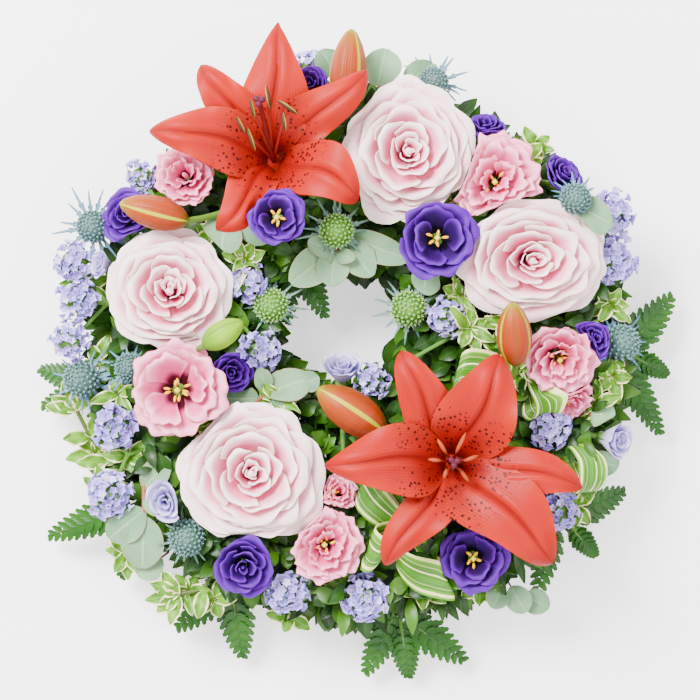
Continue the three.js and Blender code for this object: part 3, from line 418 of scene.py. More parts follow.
LILY_TOP = (-50, 114, 80)
LILY_RIGHT = (55, -63, 80)
lily_top = lily("lily_top_petals", LILY_TOP, (-50, 114), [
    (-47, 195, 90, 20, 2, 0.9), (-92, 169, 98, 13, 6, 0), (-122, 130, 102, 17, -7, 0.5),
    (-83, 71, 102, 13, 5, 0.2), (1, 89, 106, 17, 9, 0.1), (5, 166, 98, 13, -4, 0.2)])
lily_right = lily("lily_right_petals", LILY_RIGHT, (68, -78), [
    (24, 3, 100, 14, 3, 0), (82, 1, 102, 22, -3, 0.4), (-21, -64, 100, 20, -4, 0.7),
    (131, -78, 98, 14, 6, 0.1), (114, -122, 96, 21, 3, 0.1), (15, -124, 94, 13, -3, 0.2)])


def math_of(tree, how, first, second=0.0, third=0.0):
    return node(tree, "ShaderNodeMath", {0: first, 1: second, 2: third}, operation=how).outputs[0]


def between(tree, value, low, high):
    """A soft step from 0 at low to 1 at high, or the other way round when low is the larger."""
    step = node(tree, "ShaderNodeMapRange", {"Value": value, "From Min": low, "From Max": high})
    step.interpolation_type = "SMOOTHSTEP"
    return step.outputs["Result"]


def blended(tree, share, first, second):
    """Two colours mixed by a share, each an output or a written colour."""
    return node(tree, "ShaderNodeMix", {0: share, 6: first, 7: second}, data_type="RGBA").outputs[2]


def times(tree, first, second):
    return math_of(tree, "MULTIPLY", first, second)


petal_place, _, ends = shared_effect(
    "place on a petal", {}, {"Along": "Float", "Out": "Float", "Across": "Float"})
place_map = node(petal_place, "ShaderNodeUVMap", uv_map="place").outputs[0]
spot = node(petal_place, "ShaderNodeSeparateXYZ", {0: place_map})
from_rib = math_of(petal_place, "ABSOLUTE", math_of(petal_place, "SUBTRACT", spot.outputs["Y"], 0.5))
petal_place.links.new(spot.outputs["X"], ends["Along"])
petal_place.links.new(spot.outputs["Y"], ends["Across"])
petal_place.links.new(times(petal_place, from_rib, 2.0), ends["Out"])

# Fine lines that run along a petal and waver a little.
fine_lines, given, ends = shared_effect("fine lines", {"Count": 150.0, "Waver": 6.0}, {"Value": "Float"})
lines_at = times(fine_lines, effect(fine_lines, petal_place)["Across"], given["Count"])
lines_at = math_of(fine_lines, "MULTIPLY_ADD", noise(fine_lines, 120), given["Waver"], lines_at)
lines_at = math_of(fine_lines, "MULTIPLY_ADD", math_of(fine_lines, "SINE", lines_at), 0.5, 0.5)
fine_lines.links.new(lines_at, ends["Value"])


def place_on(tree):
    """How far along a petal or leaf a point lies, how far out from its rib, and how far across."""
    spot = effect(tree, petal_place)
    return spot["Along"], spot["Out"], spot["Across"]


def tone_of(tree):
    return node(tree, "ShaderNodeAttribute", attribute_name="tone").outputs["Fac"]


lily_red, tree, shader = principled(
    "lily petal", 0.48, Subsurface_Weight=0.08, Subsurface_Scale=0.002, Specular_IOR_Level=0.16)
along, out, _ = place_on(tree)
red = ramp(tree, along, [
    (0.0, "5a6a08"), (0.05, "4a0602"), (0.2, "7a0802"), (0.45, "9c0c02"), (0.8, "a61004"), (1.0, "920a02")])
red = blended(tree, times(tree, between(tree, noise(tree, 45), 0.4, 0.75), 0.5), red, "ac1a06")
red = blended(tree, times(tree, between(tree, out, 0.5, 1.0), 0.35), red, "b8260a")
red = blended(tree, times(tree, between(tree, out, 0.16, 0.02), 0.75), red, "740803")
red = blended(tree, times(tree, effect(tree, fine_lines)["Value"], 0.3), red, "7c0a03")
spot = node(tree, "ShaderNodeTexCoord").outputs["Object"]
dots = node(tree, "ShaderNodeTexVoronoi", {"Vector": spot, "Scale": 330.0})
spotted = times(tree, between(tree, dots.outputs["Distance"], 0.34, 0.24), between(tree, along, 0.56, 0.42))
spotted = times(tree, spotted, times(tree, between(tree, along, 0.08, 0.14), between(tree, out, 0.12, 0.2)))
painted(tree, shader, blended(tree, times(tree, spotted, 0.95), red, "2a0306"))
bumped(tree, shader, math_of(tree, "ADD", effect(tree, fine_lines)["Value"], spotted), 0.00014, 0.4)
put_on(lily_top, lily_red, "lily_petal", "lily_top")
put_on(lily_right, lily_red, "lily_petal", "lily_right")


# The lilies' stamens: six curved filaments with a long, slender anther on each tip, and one thick
# style with a three-lobed stigma.
def pod(middle, way, long, radius, bend, sides, tone):
    """A plump curved pod, such as an anther, round its middle."""
    way = unit(way)
    shares = np.linspace(-1, 1, 9)
    line = np.asarray(middle, float) + np.outer(shares * long / 2, way)
    line += np.outer(-bend * shares ** 2, [0, 0, 1])
    return tube(line, radius * np.sqrt(np.maximum(1 - shares ** 2 * 0.97, 0.03)), sides, tone)


def stamens(name, throat, tone, stigma, anthers):
    """Filaments, anthers and the style. Each anther has its middle, the way it points and its length."""
    low = np.array([throat[0], throat[1], throat[2] - THROAT_DEPTH + 3.0])
    shares = np.linspace(0, 1, 12)
    parts = []
    for x, y, z, across, along, long in anthers:
        tip = np.array([x, y, z], float)
        out = unit([*(tip - low)[:2], 0])
        bends = [low + 2 * out, low + 3 * out + [0, 0, 12], tip - 6 * out - [0, 0, 1], tip - [0, 0, 0.8]]
        parts.append(tube(curve_points(bends, shares), np.linspace(1.0, 0.6, 12), 6, 0.1))
        parts.append(pod(tip, [across, along, 0], long, 1.25, 1.8, 8, tone))
    top = np.array(stigma, float)
    line = curve_points([low, low + [0, 0, 10], top - [0, 0, 10], top], shares)
    parts.append(tube(line, np.linspace(1.6, 1.3, 12), 8, 0.35))
    for k in range(3):
        angle = 2 * math.pi * k / 3 + 0.4
        out = np.array([math.cos(angle), math.sin(angle), 0.2])
        parts.append(pod(top + 1.7 * out, out, 4.8, 1.9, 0.5, 8, 0.6))
    return grown(name, parts)


stamen_tan, tree, shader = principled("stamens", 0.6)
shade = ramp(tree, tone_of(tree), [
    (0.0, "7e1206"), (0.25, "6a0806"), (0.5, "4c0220"), (0.7, "93380e"), (0.85, "3a1c08")], "CONSTANT")
pollen = between(tree, place_on(tree)[2], 0.5, 0.56)
pollen = times(tree, pollen, between(tree, tone_of(tree), 0.85, 0.88))
painted(tree, shader, blended(tree, times(tree, pollen, 0.85), shade, "a88e20"))
bumped(tree, shader, noise(tree, 3000), 0.0002)
top_stamens = stamens("lily_top_centre", LILY_TOP, 0.9, (-57, 145, 116), [
    (-52, 148, 112, -0.2, 1, 14), (-61, 141, 113, 0.2, -1, 11), (-41, 142, 112, 0.82, -0.57, 14),
    (-43, 134, 111, 0.16, -1, 11), (-68, 132, 108, 0.45, -0.9, 11), (-62, 124, 108, 0.33, -0.94, 14)])
put_on(top_stamens, stamen_tan, "lily_stamens", "lily_top_stamens")
right_stamens = stamens("lily_right_centre", LILY_RIGHT, 0.75, (55, -62, 109), [
    (59, -51, 105, 0.45, 0.9, 13), (48, -53, 106, -0.52, 0.85, 10), (44, -61, 105, -1, 0.1, 8),
    (65, -60, 104, 0.93, 0.37, 9), (61, -70, 103, 0.6, -0.8, 10), (50, -69, 104, -0.3, -0.95, 6)])
put_on(right_stamens, stamen_tan, "lily_stamens", "lily_right_stamens")


# The lily buds: long closed buds of three broad and three narrow tepals, with a seam between each two.
# They sit on bent green stalks that branch off below the flowers.
BUD_SHAPE = np.array([
    [0, 0.3], [0.06, 0.55], [0.14, 0.74], [0.26, 0.92], [0.4, 1], [0.55, 0.97],
    [0.68, 0.88], [0.8, 0.7], [0.89, 0.5], [0.95, 0.34], [0.99, 0.2], [1, 0.06]])


def bud(base, tip, width, tone, turn):
    """A bud's skin, with three broad lobes. It takes its room at once."""
    base, tip = np.array(base, float), np.array(tip, float)
    way = unit(tip - base)
    side = unit(np.cross([0, 0, 1], way))
    up = np.cross(way, side)
    reach = np.linalg.norm(tip - base) / 2 + 2
    take_room((base + tip) / 2, [way, side, up], [reach, width / 2 + 1.5, width / 2 + 1.5])

    def surface(u, v):
        angle = math.pi * v + turn
        radius = width / 2 * np.interp(u, BUD_SHAPE[:, 0], BUD_SHAPE[:, 1])
        lobes = np.abs(np.cos(1.5 * angle))
        radius = radius * (0.9 + 0.1 * lobes ** 0.45 - 0.05 * np.exp(-((lobes - 1) / 0.02) ** 2))
        round_it = np.outer(radius * np.cos(angle), up) + np.outer(radius * np.sin(angle), side)
        return base + np.outer(u, tip - base) + round_it

    corners, faces, u, v, _ = sheet(30, 42, surface)
    return corners, [face[::-1] for face in faces], u, v, tone


def closed_buds(name, node_name, slot, foot, stalks, buds):
    """Buds on their stalks, with the skins sewn shut at both ends."""
    skins = [bud(*each) for each in buds]
    branches = [tube(curve_points(line, np.linspace(0, 1, 14)), 1.9, 8, 1.0) for line in stalks]
    stem = tube([*out_of_foam(foot, 51), stalks[0][0]], 2.2, 8, 1.0)
    piece = grown(name, skins + branches + [stem])
    bpy.context.view_layer.objects.active = piece
    bpy.ops.object.mode_set(mode="EDIT")
    bpy.ops.mesh.select_all(action="SELECT")
    bpy.ops.mesh.remove_doubles(threshold=1e-6)
    bpy.ops.mesh.fill_holes(sides=60)
    bpy.ops.mesh.normals_make_consistent(inside=False)
    bpy.ops.object.mode_set(mode="OBJECT")
    put_on(piece, bud_skin, slot, node_name)


bud_skin, tree, shader = principled("lily bud", 0.45, Specular_IOR_Level=0.2)
along, _, across = place_on(tree)
lobe = math_of(tree, "ABSOLUTE", math_of(tree, "COSINE", times(tree, across, 3 * math.pi)))
lines_on_bud = effect(tree, fine_lines, Count=260.0)["Value"]
skin = ramp(tree, along, [
    (0.0, "5c5404"), (0.12, "8a3404"), (0.3, "963004"), (0.75, "9c3e06"), (0.93, "9c6404"), (1.0, "90a004")])
skin = blended(tree, times(tree, lines_on_bud, 0.45), skin, "6a1c04")
skin = blended(tree, times(tree, between(tree, lobe, 0.975, 0.996), 0.9), skin, "aaa606")
skin = blended(tree, times(tree, between(tree, lobe, 0.16, 0.02), 0.7), skin, "6f4214")
lime = ramp(tree, along, [(0.0, "427800"), (0.5, "82ae00"), (1.0, "709e00")])
lime = blended(tree, times(tree, between(tree, lobe, 0.3, 0.02), 0.7), lime, "4f7a08")
tone = tone_of(tree)
skin = blended(tree, between(tree, tone, 0.3, 0.45), skin, lime)
painted(tree, shader, blended(tree, between(tree, tone, 0.8, 0.9), skin, "5a7c26"))
bumped(tree, shader, lines_on_bud, 0.00015, 0.4)

# Each stalk has four corners of a curve, and each bud its base, tip, width, tone and turn.
closed_buds(
    "lily_top_closed_buds", "lily_top_buds", "lily_bud", (-44, 100),
    [[(-44, 100, 57), (-34, 112, 60), (-20, 131, 64), (-8, 145, 74)],
     [(-44, 100, 57), (-62, 92, 60), (-82, 80, 72), (-102, 78, 88)]],
    [[(-8, 144, 74), (-4, 191, 80), 22, 0.0, 0.4],
     [(-100, 78, 88), (-139, 88, 92), 20, 0.0, 1.2]])
closed_buds(
    "lily_right_closed_buds", "lily_right_buds", "lily_bud", (84, -40),
    [[(72, -36, 58), (58, -38, 60), (40, -42, 66), (14, -46, 80)],
     [(72, -36, 58), (82, -26, 60), (92, -18, 66), (92, -5, 87)]],
    [[(15, -46, 80), (-24, -20, 84), 25, 0.0, 0.9],
     [(92, -6, 86), (89, 30, 100), 21, 0.0, 0.0]])
closed_buds(
    "green_closed_bud", "green_bud", "green_bud", (-93, 3),
    [[(-93, 3, 52), (-94, 3, 66), (-96, 2, 90), (-89, 5, 96)]],
    [[(-90, 5, 96), (-67, 19, 100), 16, 0.5, 0.5]])


# The roses and the lisianthus: cupped petals set in a spiral round the heart, each inside the last.
# The outer petals lie open and roll back at their edges, and the inner ones stand upright.
# Each head grows on a green stem that is pushed into the foam.
GOLDEN_TURN = 2.39996


def pose_of(at, depth, lean):
    """A bloom's base and its three axes, from the middle of its top, its depth and how it leans."""
    axis = unit([lean[0], lean[1], 1])
    side = unit(np.cross([0, 1, 0], axis))
    front = np.cross(axis, side)
    return np.asarray(at, float) - depth * axis, side, front, axis


def cup_petal(pose, radius, depth, facing, shape, kind, oval, centre, chance):
    """One petal, as a surface. Its shape is how far it reaches, how high, and its half span."""
    base, side, front, axis = pose
    reach, high, span = shape
    phases = [chance.uniform(0, 6.28) for _ in range(4)]
    skew, dip = chance.uniform(-0.3, 0.3), chance.uniform(0, 0.12)
    curl = kind["curl"] * min(1, reach + 0.15) * chance.uniform(0.6, 1.3)
    ruffle = kind["ruffle"] * min(1, reach + 0.3)
    frill = kind["frill"]
    foot = 0.12 * reach

    def surface(u, v):
        lobe = 1 - 0.3 * np.abs(v + skew * v ** 2) ** 2.4 + 0.05 * np.exp(-((v - skew) / 0.22) ** 2)
        t = u * (lobe - dip * np.exp(-((v - 0.5 * math.sin(phases[3])) / 0.2) ** 2))
        out = foot + (reach - foot) * np.sin(np.minimum(t, 1) * math.pi / 2) ** 1.15
        lift = high * (1 - np.maximum(1 - t, 0) ** 1.5)
        roll = np.maximum(t - 0.7, 0) / 0.3
        edge = t ** 3
        waved = np.sin(5.5 * frill * v + phases[0]) + 0.6 * np.sin(11 * frill * v + phases[1])
        lifted = np.cos(6.5 * frill * v + phases[1]) + 0.7 * np.sin(13 * frill * v + phases[2])
        out = out + curl * roll ** 2 + ruffle * edge * waved
        lift = lift - 0.9 * curl * roll ** 3 + 0.8 * ruffle * edge * lifted + 0.02 * v
        wide = math.radians(span) * (0.42 + 0.58 * np.sin(np.minimum(1.3 * t, 1) * math.pi / 2))
        angle = facing + v * wide
        out = radius * out * (1 + 0.035 * v)
        away = (1 - reach) * edge
        points = base + np.outer(out * oval[0] * np.cos(angle) + away * centre[0], side)
        points += np.outer(out * oval[1] * np.sin(angle) + away * centre[1], front)
        return bent_clear(points + np.outer(depth * lift, axis))

    return surface


def bloom(at, radius, depth, kind, seed, lean, oval):
    """All petals of one bloom, outermost first. It takes its room once its petals are shaped."""
    chance = random.Random(seed)
    pose = pose_of(at, depth, lean)
    count = kind["petals"]
    start = chance.uniform(0, 6.28)
    centre = (0.12 * radius * chance.uniform(-1, 1), 0.12 * radius * chance.uniform(-1, 1))
    stages, reaches, heights, spans = zip(*kind["shape"])
    petals = []
    for k in range(count):
        share = k / (count - 1)
        shape = [np.interp(share, stages, values) for values in (reaches, heights, spans)]
        shape[0] *= chance.uniform(0.965, 1.02)
        shape[1] += chance.uniform(-0.03, 0.03)
        facing = start + GOLDEN_TURN * k + chance.uniform(-0.2, 0.2)
        surface = cup_petal(pose, radius, depth, facing, shape, kind, oval, centre, chance)
        petals.append(sheet(*kind["steps"], surface, share))
    base, side, front, axis = pose
    wide = [radius * oval[0] + 0.8, radius * oval[1] + 0.8, 0.6 * depth + 0.8]
    take_room(base + 0.55 * depth * axis, [side, front, axis], wide)
    return petals, pose


# Each shape: how far from the outermost petal to the innermost, then reach, height and half span.
ROSE = {"petals": 34, "curl": 0.1, "ruffle": 0.028, "frill": 1.0, "steps": (12, 18), "shape": [
    (0, 0.98, 0.5, 50), (0.3, 0.85, 0.68, 52), (0.52, 0.68, 0.86, 55), (0.7, 0.5, 0.99, 58),
    (0.76, 0.36, 0.97, 62), (0.9, 0.18, 0.94, 75), (1, 0.05, 0.9, 100)]}
ROSE_DEPTH = 34
PINK = {"petals": 11, "curl": 0.1, "ruffle": 0.045, "frill": 1.5, "steps": (14, 26), "shape": [
    (0, 0.98, 0.66, 52), (0.5, 0.84, 0.84, 50), (1, 0.6, 0.98, 48)]}
PINK_FULL = {"petals": 16, "curl": 0.08, "ruffle": 0.052, "frill": 1.6, "steps": (10, 19), "shape": [
    (0, 0.98, 0.62, 52), (0.5, 0.76, 0.88, 50), (0.8, 0.46, 1.0, 52), (1, 0.26, 0.98, 60)]}
VIOLET = {"petals": 11, "curl": 0.11, "ruffle": 0.03, "frill": 1.1, "steps": (14, 20), "shape": [
    (0, 1.0, 0.7, 54), (0.5, 0.86, 0.88, 52), (1, 0.56, 1.0, 56)]}
VIOLET_SHUT = {"petals": 14, "curl": 0.09, "ruffle": 0.024, "frill": 1.1, "steps": (10, 15), "shape": [
    (0, 1.0, 0.7, 54), (0.5, 0.72, 0.92, 56), (0.8, 0.4, 1.0, 62), (1, 0.14, 0.98, 90)]}
PALE = {"petals": 11, "curl": 0.05, "ruffle": 0.01, "frill": 1.0, "steps": (10, 14), "shape": [
    (0, 0.98, 0.9, 52), (0.5, 0.64, 1.0, 58), (1, 0.16, 0.98, 90)]}


def heart_of(pose, depth, radius, count, seed):
    """The gold stamens and the stigma in an open lisianthus."""
    low, high = 0.25, 0.66
    base, side, front, axis = pose
    chance = random.Random(seed)
    parts = []
    for k in range(count):
        angle = 2 * math.pi * k / count + chance.uniform(-0.3, 0.3)
        out = math.cos(angle) * side + math.sin(angle) * front
        start = base + low * depth * axis + 0.05 * radius * out
        end = base + mixed(high - 0.08, high + 0.05, chance.random()) * depth * axis
        end = end + mixed(0.12, 0.24, chance.random()) * radius * out
        parts.append(tube([start, (start + end) / 2 + 0.8 * out, end], 0.35, 5, 0.5))
        points_to = out + 0.3 * axis + 0.4 * side * chance.uniform(-1, 1)
        parts.append(pod(end, points_to, 4.2, 0.95, 0.3, 6, 0.7))
    top = base + (high + 0.06) * depth * axis
    parts.append(tube([base + low * depth * axis, top], 0.8, 6, 0.9))
    parts.append(pod(top, side, 3.6, 1.2, 0.2, 6, 1.0))
    parts.append(pod(top, front, 3.6, 1.2, 0.2, 6, 1.0))
    return parts


gold_dust, tree, shader = principled("gold stamens", 0.6)
painted(tree, shader, ramp(tree, tone_of(tree), [
    (0.0, "7f8a1a"), (0.6, "8a9020"), (0.68, "eda600"), (0.8, "dcae08"), (0.85, "868c14"), (1.0, "d6d01a")]))
bumped(tree, shader, noise(tree, 2500), 0.0002)


# The blooms' finishes: soft, slightly velvety petals, deeper in colour down in the cup and finely veined.
petal_colours, given, ends = shared_effect("petal colours", {
    "Rim": "ffffff", "Face": "ffffff", "Deep": "ffffff", "Throat": "ffffff", "Line": "ffffff",
    "Veined": 0.1, "Line Share": 0.0, "Tone Share": -0.3}, {"Color": "Color"})
along, out, _ = place_on(petal_colours)
tone = tone_of(petal_colours)
height = math_of(petal_colours, "MULTIPLY_ADD", tone, given["Tone Share"], along)
shade = blended(petal_colours, between(petal_colours, height, 0.25, 0.85), given["Deep"], given["Face"])
shade = blended(petal_colours, between(petal_colours, along, 0.72, 1.0), shade, given["Rim"])
outermost = between(petal_colours, out, 0.7, 1.0)
rim_share = times(petal_colours, outermost, between(petal_colours, along, 0.4, 0.9))
shade = blended(petal_colours, times(petal_colours, rim_share, 0.7), shade, given["Rim"])
lined = times(petal_colours, effect(petal_colours, fine_lines, Count=170.0)["Value"], given["Veined"])
shade = blended(petal_colours, lined, shade, given["Deep"])
cloudy = times(petal_colours, between(petal_colours, noise(petal_colours, 70), 0.45, 0.8), 0.3)
shade = blended(petal_colours, cloudy, shade, given["Rim"])
shade = blended(petal_colours, between(petal_colours, along, 0.44, 0.24), shade, given["Throat"])
edged = times(petal_colours, between(petal_colours, along, 0.95, 0.99), given["Line Share"])
petal_colours.links.new(blended(petal_colours, edged, shade, given["Line"]), ends["Color"])


def petal_finish(name, rough, sheen=0.0, **colours):
    material, tree, shader = principled(
        name, rough, Subsurface_Weight=0.12, Subsurface_Scale=0.002,
        Sheen_Weight=sheen, Sheen_Roughness=0.4, Specular_IOR_Level=0.18)
    painted(tree, shader, effect(tree, petal_colours, **colours)["Color"])
    bumped(tree, shader, effect(tree, fine_lines, Count=170.0)["Value"], 0.00012, 0.35)
    return material


rose_cream = petal_finish(
    "rose petal", 0.6, Rim="ffe8e2", Face="fcbecb", Deep="f080a4", Throat="cc4078",
    Veined=0.05, Tone_Share=-0.32)
soft_pink = petal_finish(
    "pink lisianthus petal", 0.6, Rim="fcaac4", Face="fa96b8", Deep="dc4c84", Throat="4a0a1e",
    Line="e0507c", Line_Share=0.6, Veined=0.14)
deep_violet = petal_finish(
    "violet lisianthus petal", 0.55, Rim="5a0e9c", Face="480882", Deep="200340", Throat="0a0118",
    Veined=0.25)
pale_violet = petal_finish(
    "pale lisianthus petal", 0.55, sheen=0.1, Rim="d6cdf2", Face="cdc6ee", Deep="9a8fd0", Throat="6f8a4a",
    Line="5c3fb8", Line_Share=0.6, Veined=0.14)
stalk_green, tree, shader = principled("green stalk", 0.5)
painted(tree, shader, ramp(tree, noise(tree, 200), [(0.3, "3a621e"), (0.7, "5c8430")]))

THIN_WALL = 0.55
CLOSED_CORE_TONE = 1.6
ROUND = (1, 1)
UP = (0, 0)


def bloom_piece(name, blooms, kind, foot, material, slot, nodes, heart=None, fork=None):
    """One or more blooms on a stem. The stem and the heart have finishes of their own.

    A heart is the number of gold stamens. Without one, a small closed core fills the middle.
    """
    petals, hearts, stems = [], [], []
    for at, radius, depth, lean, oval, seed in blooms:
        grown_petals, pose = bloom(at, radius, depth, kind, seed, lean, oval)
        petals += grown_petals
        base, axis = pose[0], pose[3]
        if heart:
            hearts += heart_of(pose, depth, radius, heart, seed)
        else:
            middle = base + 0.6 * depth * axis
            petals.append(pod(middle, axis, 0.54 * depth, 0.07 * radius, 0.0, 12, CLOSED_CORE_TONE))
        way = [*out_of_foam(foot), *([fork] if fork else []), base + 0.14 * depth * axis]
        stems.append(tube(way, 1.8, 8))
        stems.append(tube([base - 2 * axis, base + 3 * axis], [2.2, 4.0], 10))
    put_on(grown(name, petals, THIN_WALL), material, slot, *nodes)
    put_on(grown(name + "_stalk", stems), stalk_green, "fern_leaf")
    if hearts:
        put_on(grown(name + "_stamens", hearts), gold_dust, "lily_stamens")


def rose(name, at, radius, lean, oval, seed, node_name):
    one = [(at, radius, ROSE_DEPTH, lean, oval, seed)]
    bloom_piece(name, one, ROSE, at[:2], rose_cream, "rose_petal", [node_name])


def lisianthus(name, kind, material, slot, nodes, foot, blooms, **more):
    """Blooms given as place, radius, depth, lean and seed."""
    spread = [(at, radius, depth, lean, ROUND, seed) for at, radius, depth, lean, seed in blooms]
    bloom_piece(name, spread, kind, foot, material, slot, nodes, **more)


def pink(name, node_name, foot, *blooms, kind=PINK_FULL, **more):
    lisianthus(name, kind, soft_pink, "pink_petal", [node_name], foot, blooms, **more)


def violet(name, node_name, foot, *blooms, kind=VIOLET_SHUT, **more):
    lisianthus(name, kind, deep_violet, "violet_petal", [node_name], foot, blooms, **more)


def pale(name, nodes, foot, *blooms):
    lisianthus(name, PALE, pale_violet, "pale_petal", nodes, foot, blooms)


# Over the roses' edges lie a pink and two violet blooms, which the roses' petals bend under.
# Each bloom is its top, radius, depth, lean and seed.
pink("pink_bloom_left", "pink_c", (-106, -21), ((-106, -21, 94), 28, 27, UP, 4), kind=PINK, heart=9)
violet("violet_bloom_inner", "violet_b", (54, 79), ((46, 68, 94), 22, 22, UP, 5), kind=VIOLET, heart=5)
violet("violet_bloom_south", "violet_g", (-64, -119), ((-68, -126, 84), 18, 18, (-0.05, -0.2), 6))

# The four garden roses.
rose("rose_petals_left", (-111, 37, 90), 36, UP, ROUND, 11, "rose_left")
rose("rose_petals_bottom", (-63, -70, 92), 42, UP, ROUND, 12, "rose_bottom")
rose("rose_petals_top", (29, 119, 90), 39, UP, (0.97, 1.04), 13, "rose_top")
rose("rose_petals_right", (102, 54, 90), 40, (0.05, -0.12), (1.12, 0.88), 14, "rose_right")

# The other lisianthus: pink ones with frilled edges, violet ones, and pale ones that are nearly shut.
pink("pink_bloom_top_right", "pink_b", (80, 101), ((80, 101, 88), 28, 25, UP, 21), heart=6)
pink("pink_bloom_right", "pink_e", (119, -5), ((119, -5, 84), 22, 22, (0.1, -0.25), 22),
     ((124, -31, 68), 16, 17, (0.15, -0.9), 26), heart=5, fork=(119, -8, 56))
pink("pink_blooms_south", "pink_d", (-18, -100), ((-20, -112, 84), 23, 22, UP, 23),
     ((-15, -80, 78), 13, 16, (0, 0.3), 24), heart=5, fork=(-18, -100, 56))
pink("pink_bloom_top_left", "pink_a", (-94, 97), ((-103, 106, 84), 19, 20, (-0.15, 0.1), 25))
violet("violet_bloom_under_lily", "violet_h", (66, -118), ((68, -121, 74), 19, 17, UP, 31),
       kind=VIOLET, heart=5)
violet("violet_bloom_left_inner", "violet_i", (-92, -12), ((-75, -12, 72), 14, 15, (0.2, 0), 32))
violet("violet_blooms_top_right", "violet_d", (98, 96), ((73, 136, 72), 13, 17, (-0.2, 0.9), 33),
       ((123, 107, 74), 14, 17, (0.6, 0.5), 34), fork=(98, 104, 56))
violet("violet_bloom_left", "violet_c", (-118, 70), ((-137, 82, 78), 17, 17, (-0.3, 0.1), 35))
violet("violet_bloom_right", "violet_f", (137, 8), ((137, 8, 76), 12, 14, UP, 36))
violet("violet_bloom_top", "violet_j", (-25, 134), ((-29, 161, 76), 12, 14, (0, 0.3), 37))
pale("pale_bloom_left", ["pale_a"], (-106, -82), ((-111, -86, 80), 13, 15, UP, 41))
pale("pale_bloom_right", ["pale_b"], (128, -46), ((158, -51, 62), 12, 20, (1.1, -0.1), 42))
pale("pale_bloom_inner", ["pale_c"], (-8, -92), ((-10, -4, 66), 12, 20, (0, 1.1), 43))
pale("pale_bloom_outer_left", [], (-138, 46), ((-153, 53, 70), 9, 14, (-0.8, 0.2), 44))

# The violet bloom on the top lily keeps its own form: the petals under it have already bent clear.
others = rooms[1:]
rooms.clear()
violet("violet_bloom_on_lily", "violet_a", (-47, 79), ((-47, 79, 112), 16, 17, UP, 1), kind=VIOLET, heart=5)
rooms.extend(others)


# The sea holly: an egg-shaped head packed with small spiky florets in spirals, green below and
# whitish blue at the tips, on a star of long, narrow, spiny bracts.
def frame_on(axis, spin):
    """Three directions, with the last along an axis and the others spun round it."""
    axis = unit(axis)
    side = unit(np.cross([0.3, 1, 0.1], axis))
    front = np.cross(axis, side)
    across = math.cos(spin) * side + math.sin(spin) * front
    return np.array([across, np.cross(axis, across), axis])


def copied(part, rows, at, size, tone):
    """A copy of a small part, turned to three directions, scaled and moved, with its own tone."""
    corners, faces, u, v = part
    return corners * size @ rows + at, faces, u, v, tone


def star_floret():
    """A floret of the sea holly: five blunt points round a raised middle."""
    corners, faces = [(0, 0, -0.6)], []
    for k in range(10):
        angle = math.pi * k / 5
        far = 0.95 if k % 2 == 0 else 0.42
        corners.append((far * math.cos(angle), far * math.sin(angle), 0.9 if k % 2 == 0 else 0.35))
    for k in range(5):
        angle = 2 * math.pi * (k + 0.5) / 5
        corners.append((0.24 * math.cos(angle), 0.24 * math.sin(angle), 1.2))
    corners.append((0, 0, 1.9))
    for k in range(10):
        faces.append((0, 1 + (k + 1) % 10, 1 + k))
    for k in range(5):
        a, b, c = 1 + 2 * k, 1 + (2 * k + 1) % 10, 1 + (2 * k + 2) % 10
        inner, next_inner = 11 + k, 11 + (k + 1) % 5
        faces += [(a, b, inner), (b, c, inner), (c, next_inner, inner), (inner, next_inner, 16)]
    corners = np.array(corners)
    height = np.clip(corners[:, 2] / 1.9, 0, 1)
    return corners, faces, height, np.full(len(corners), 0.5)


FLORET = star_floret()
FLORETS = 96
BRACTS = 15
BRACT_HALF_WIDTH = 1.05
BRACT_WALL = 0.5
HEAD_SHAPE = np.array([
    [0, 0.3], [0.15, 0.8], [0.35, 1.0], [0.6, 0.95], [0.8, 0.72], [0.93, 0.42], [1, 0.05]])


def spiny_bract(root, tip, up, tone):
    """A narrow stiff bract with spines along both sides."""
    root, tip = np.asarray(root, float), np.asarray(tip, float)
    long = tip - root
    side = unit(np.cross(up, long))
    rise = unit(np.cross(long, side))

    def surface(u, v):
        step = np.round(u * 12)
        spine = (step % 4 == 2) & (u < 0.8)
        half = BRACT_HALF_WIDTH * (1 - u) ** 0.6 + 0.12 + spine * 1.8 * (1 - u)
        swept = spine * 1.6 * np.abs(v)
        arch = 0.12 * np.linalg.norm(long) * np.sin(math.pi * u) + 0.5 * v ** 2 * half
        points = root + np.outer(u, long) + np.outer(swept, unit(long))
        return bent_clear(points + np.outer(half * v, side) + np.outer(arch, rise))

    return sheet(12, 2, surface, tone)


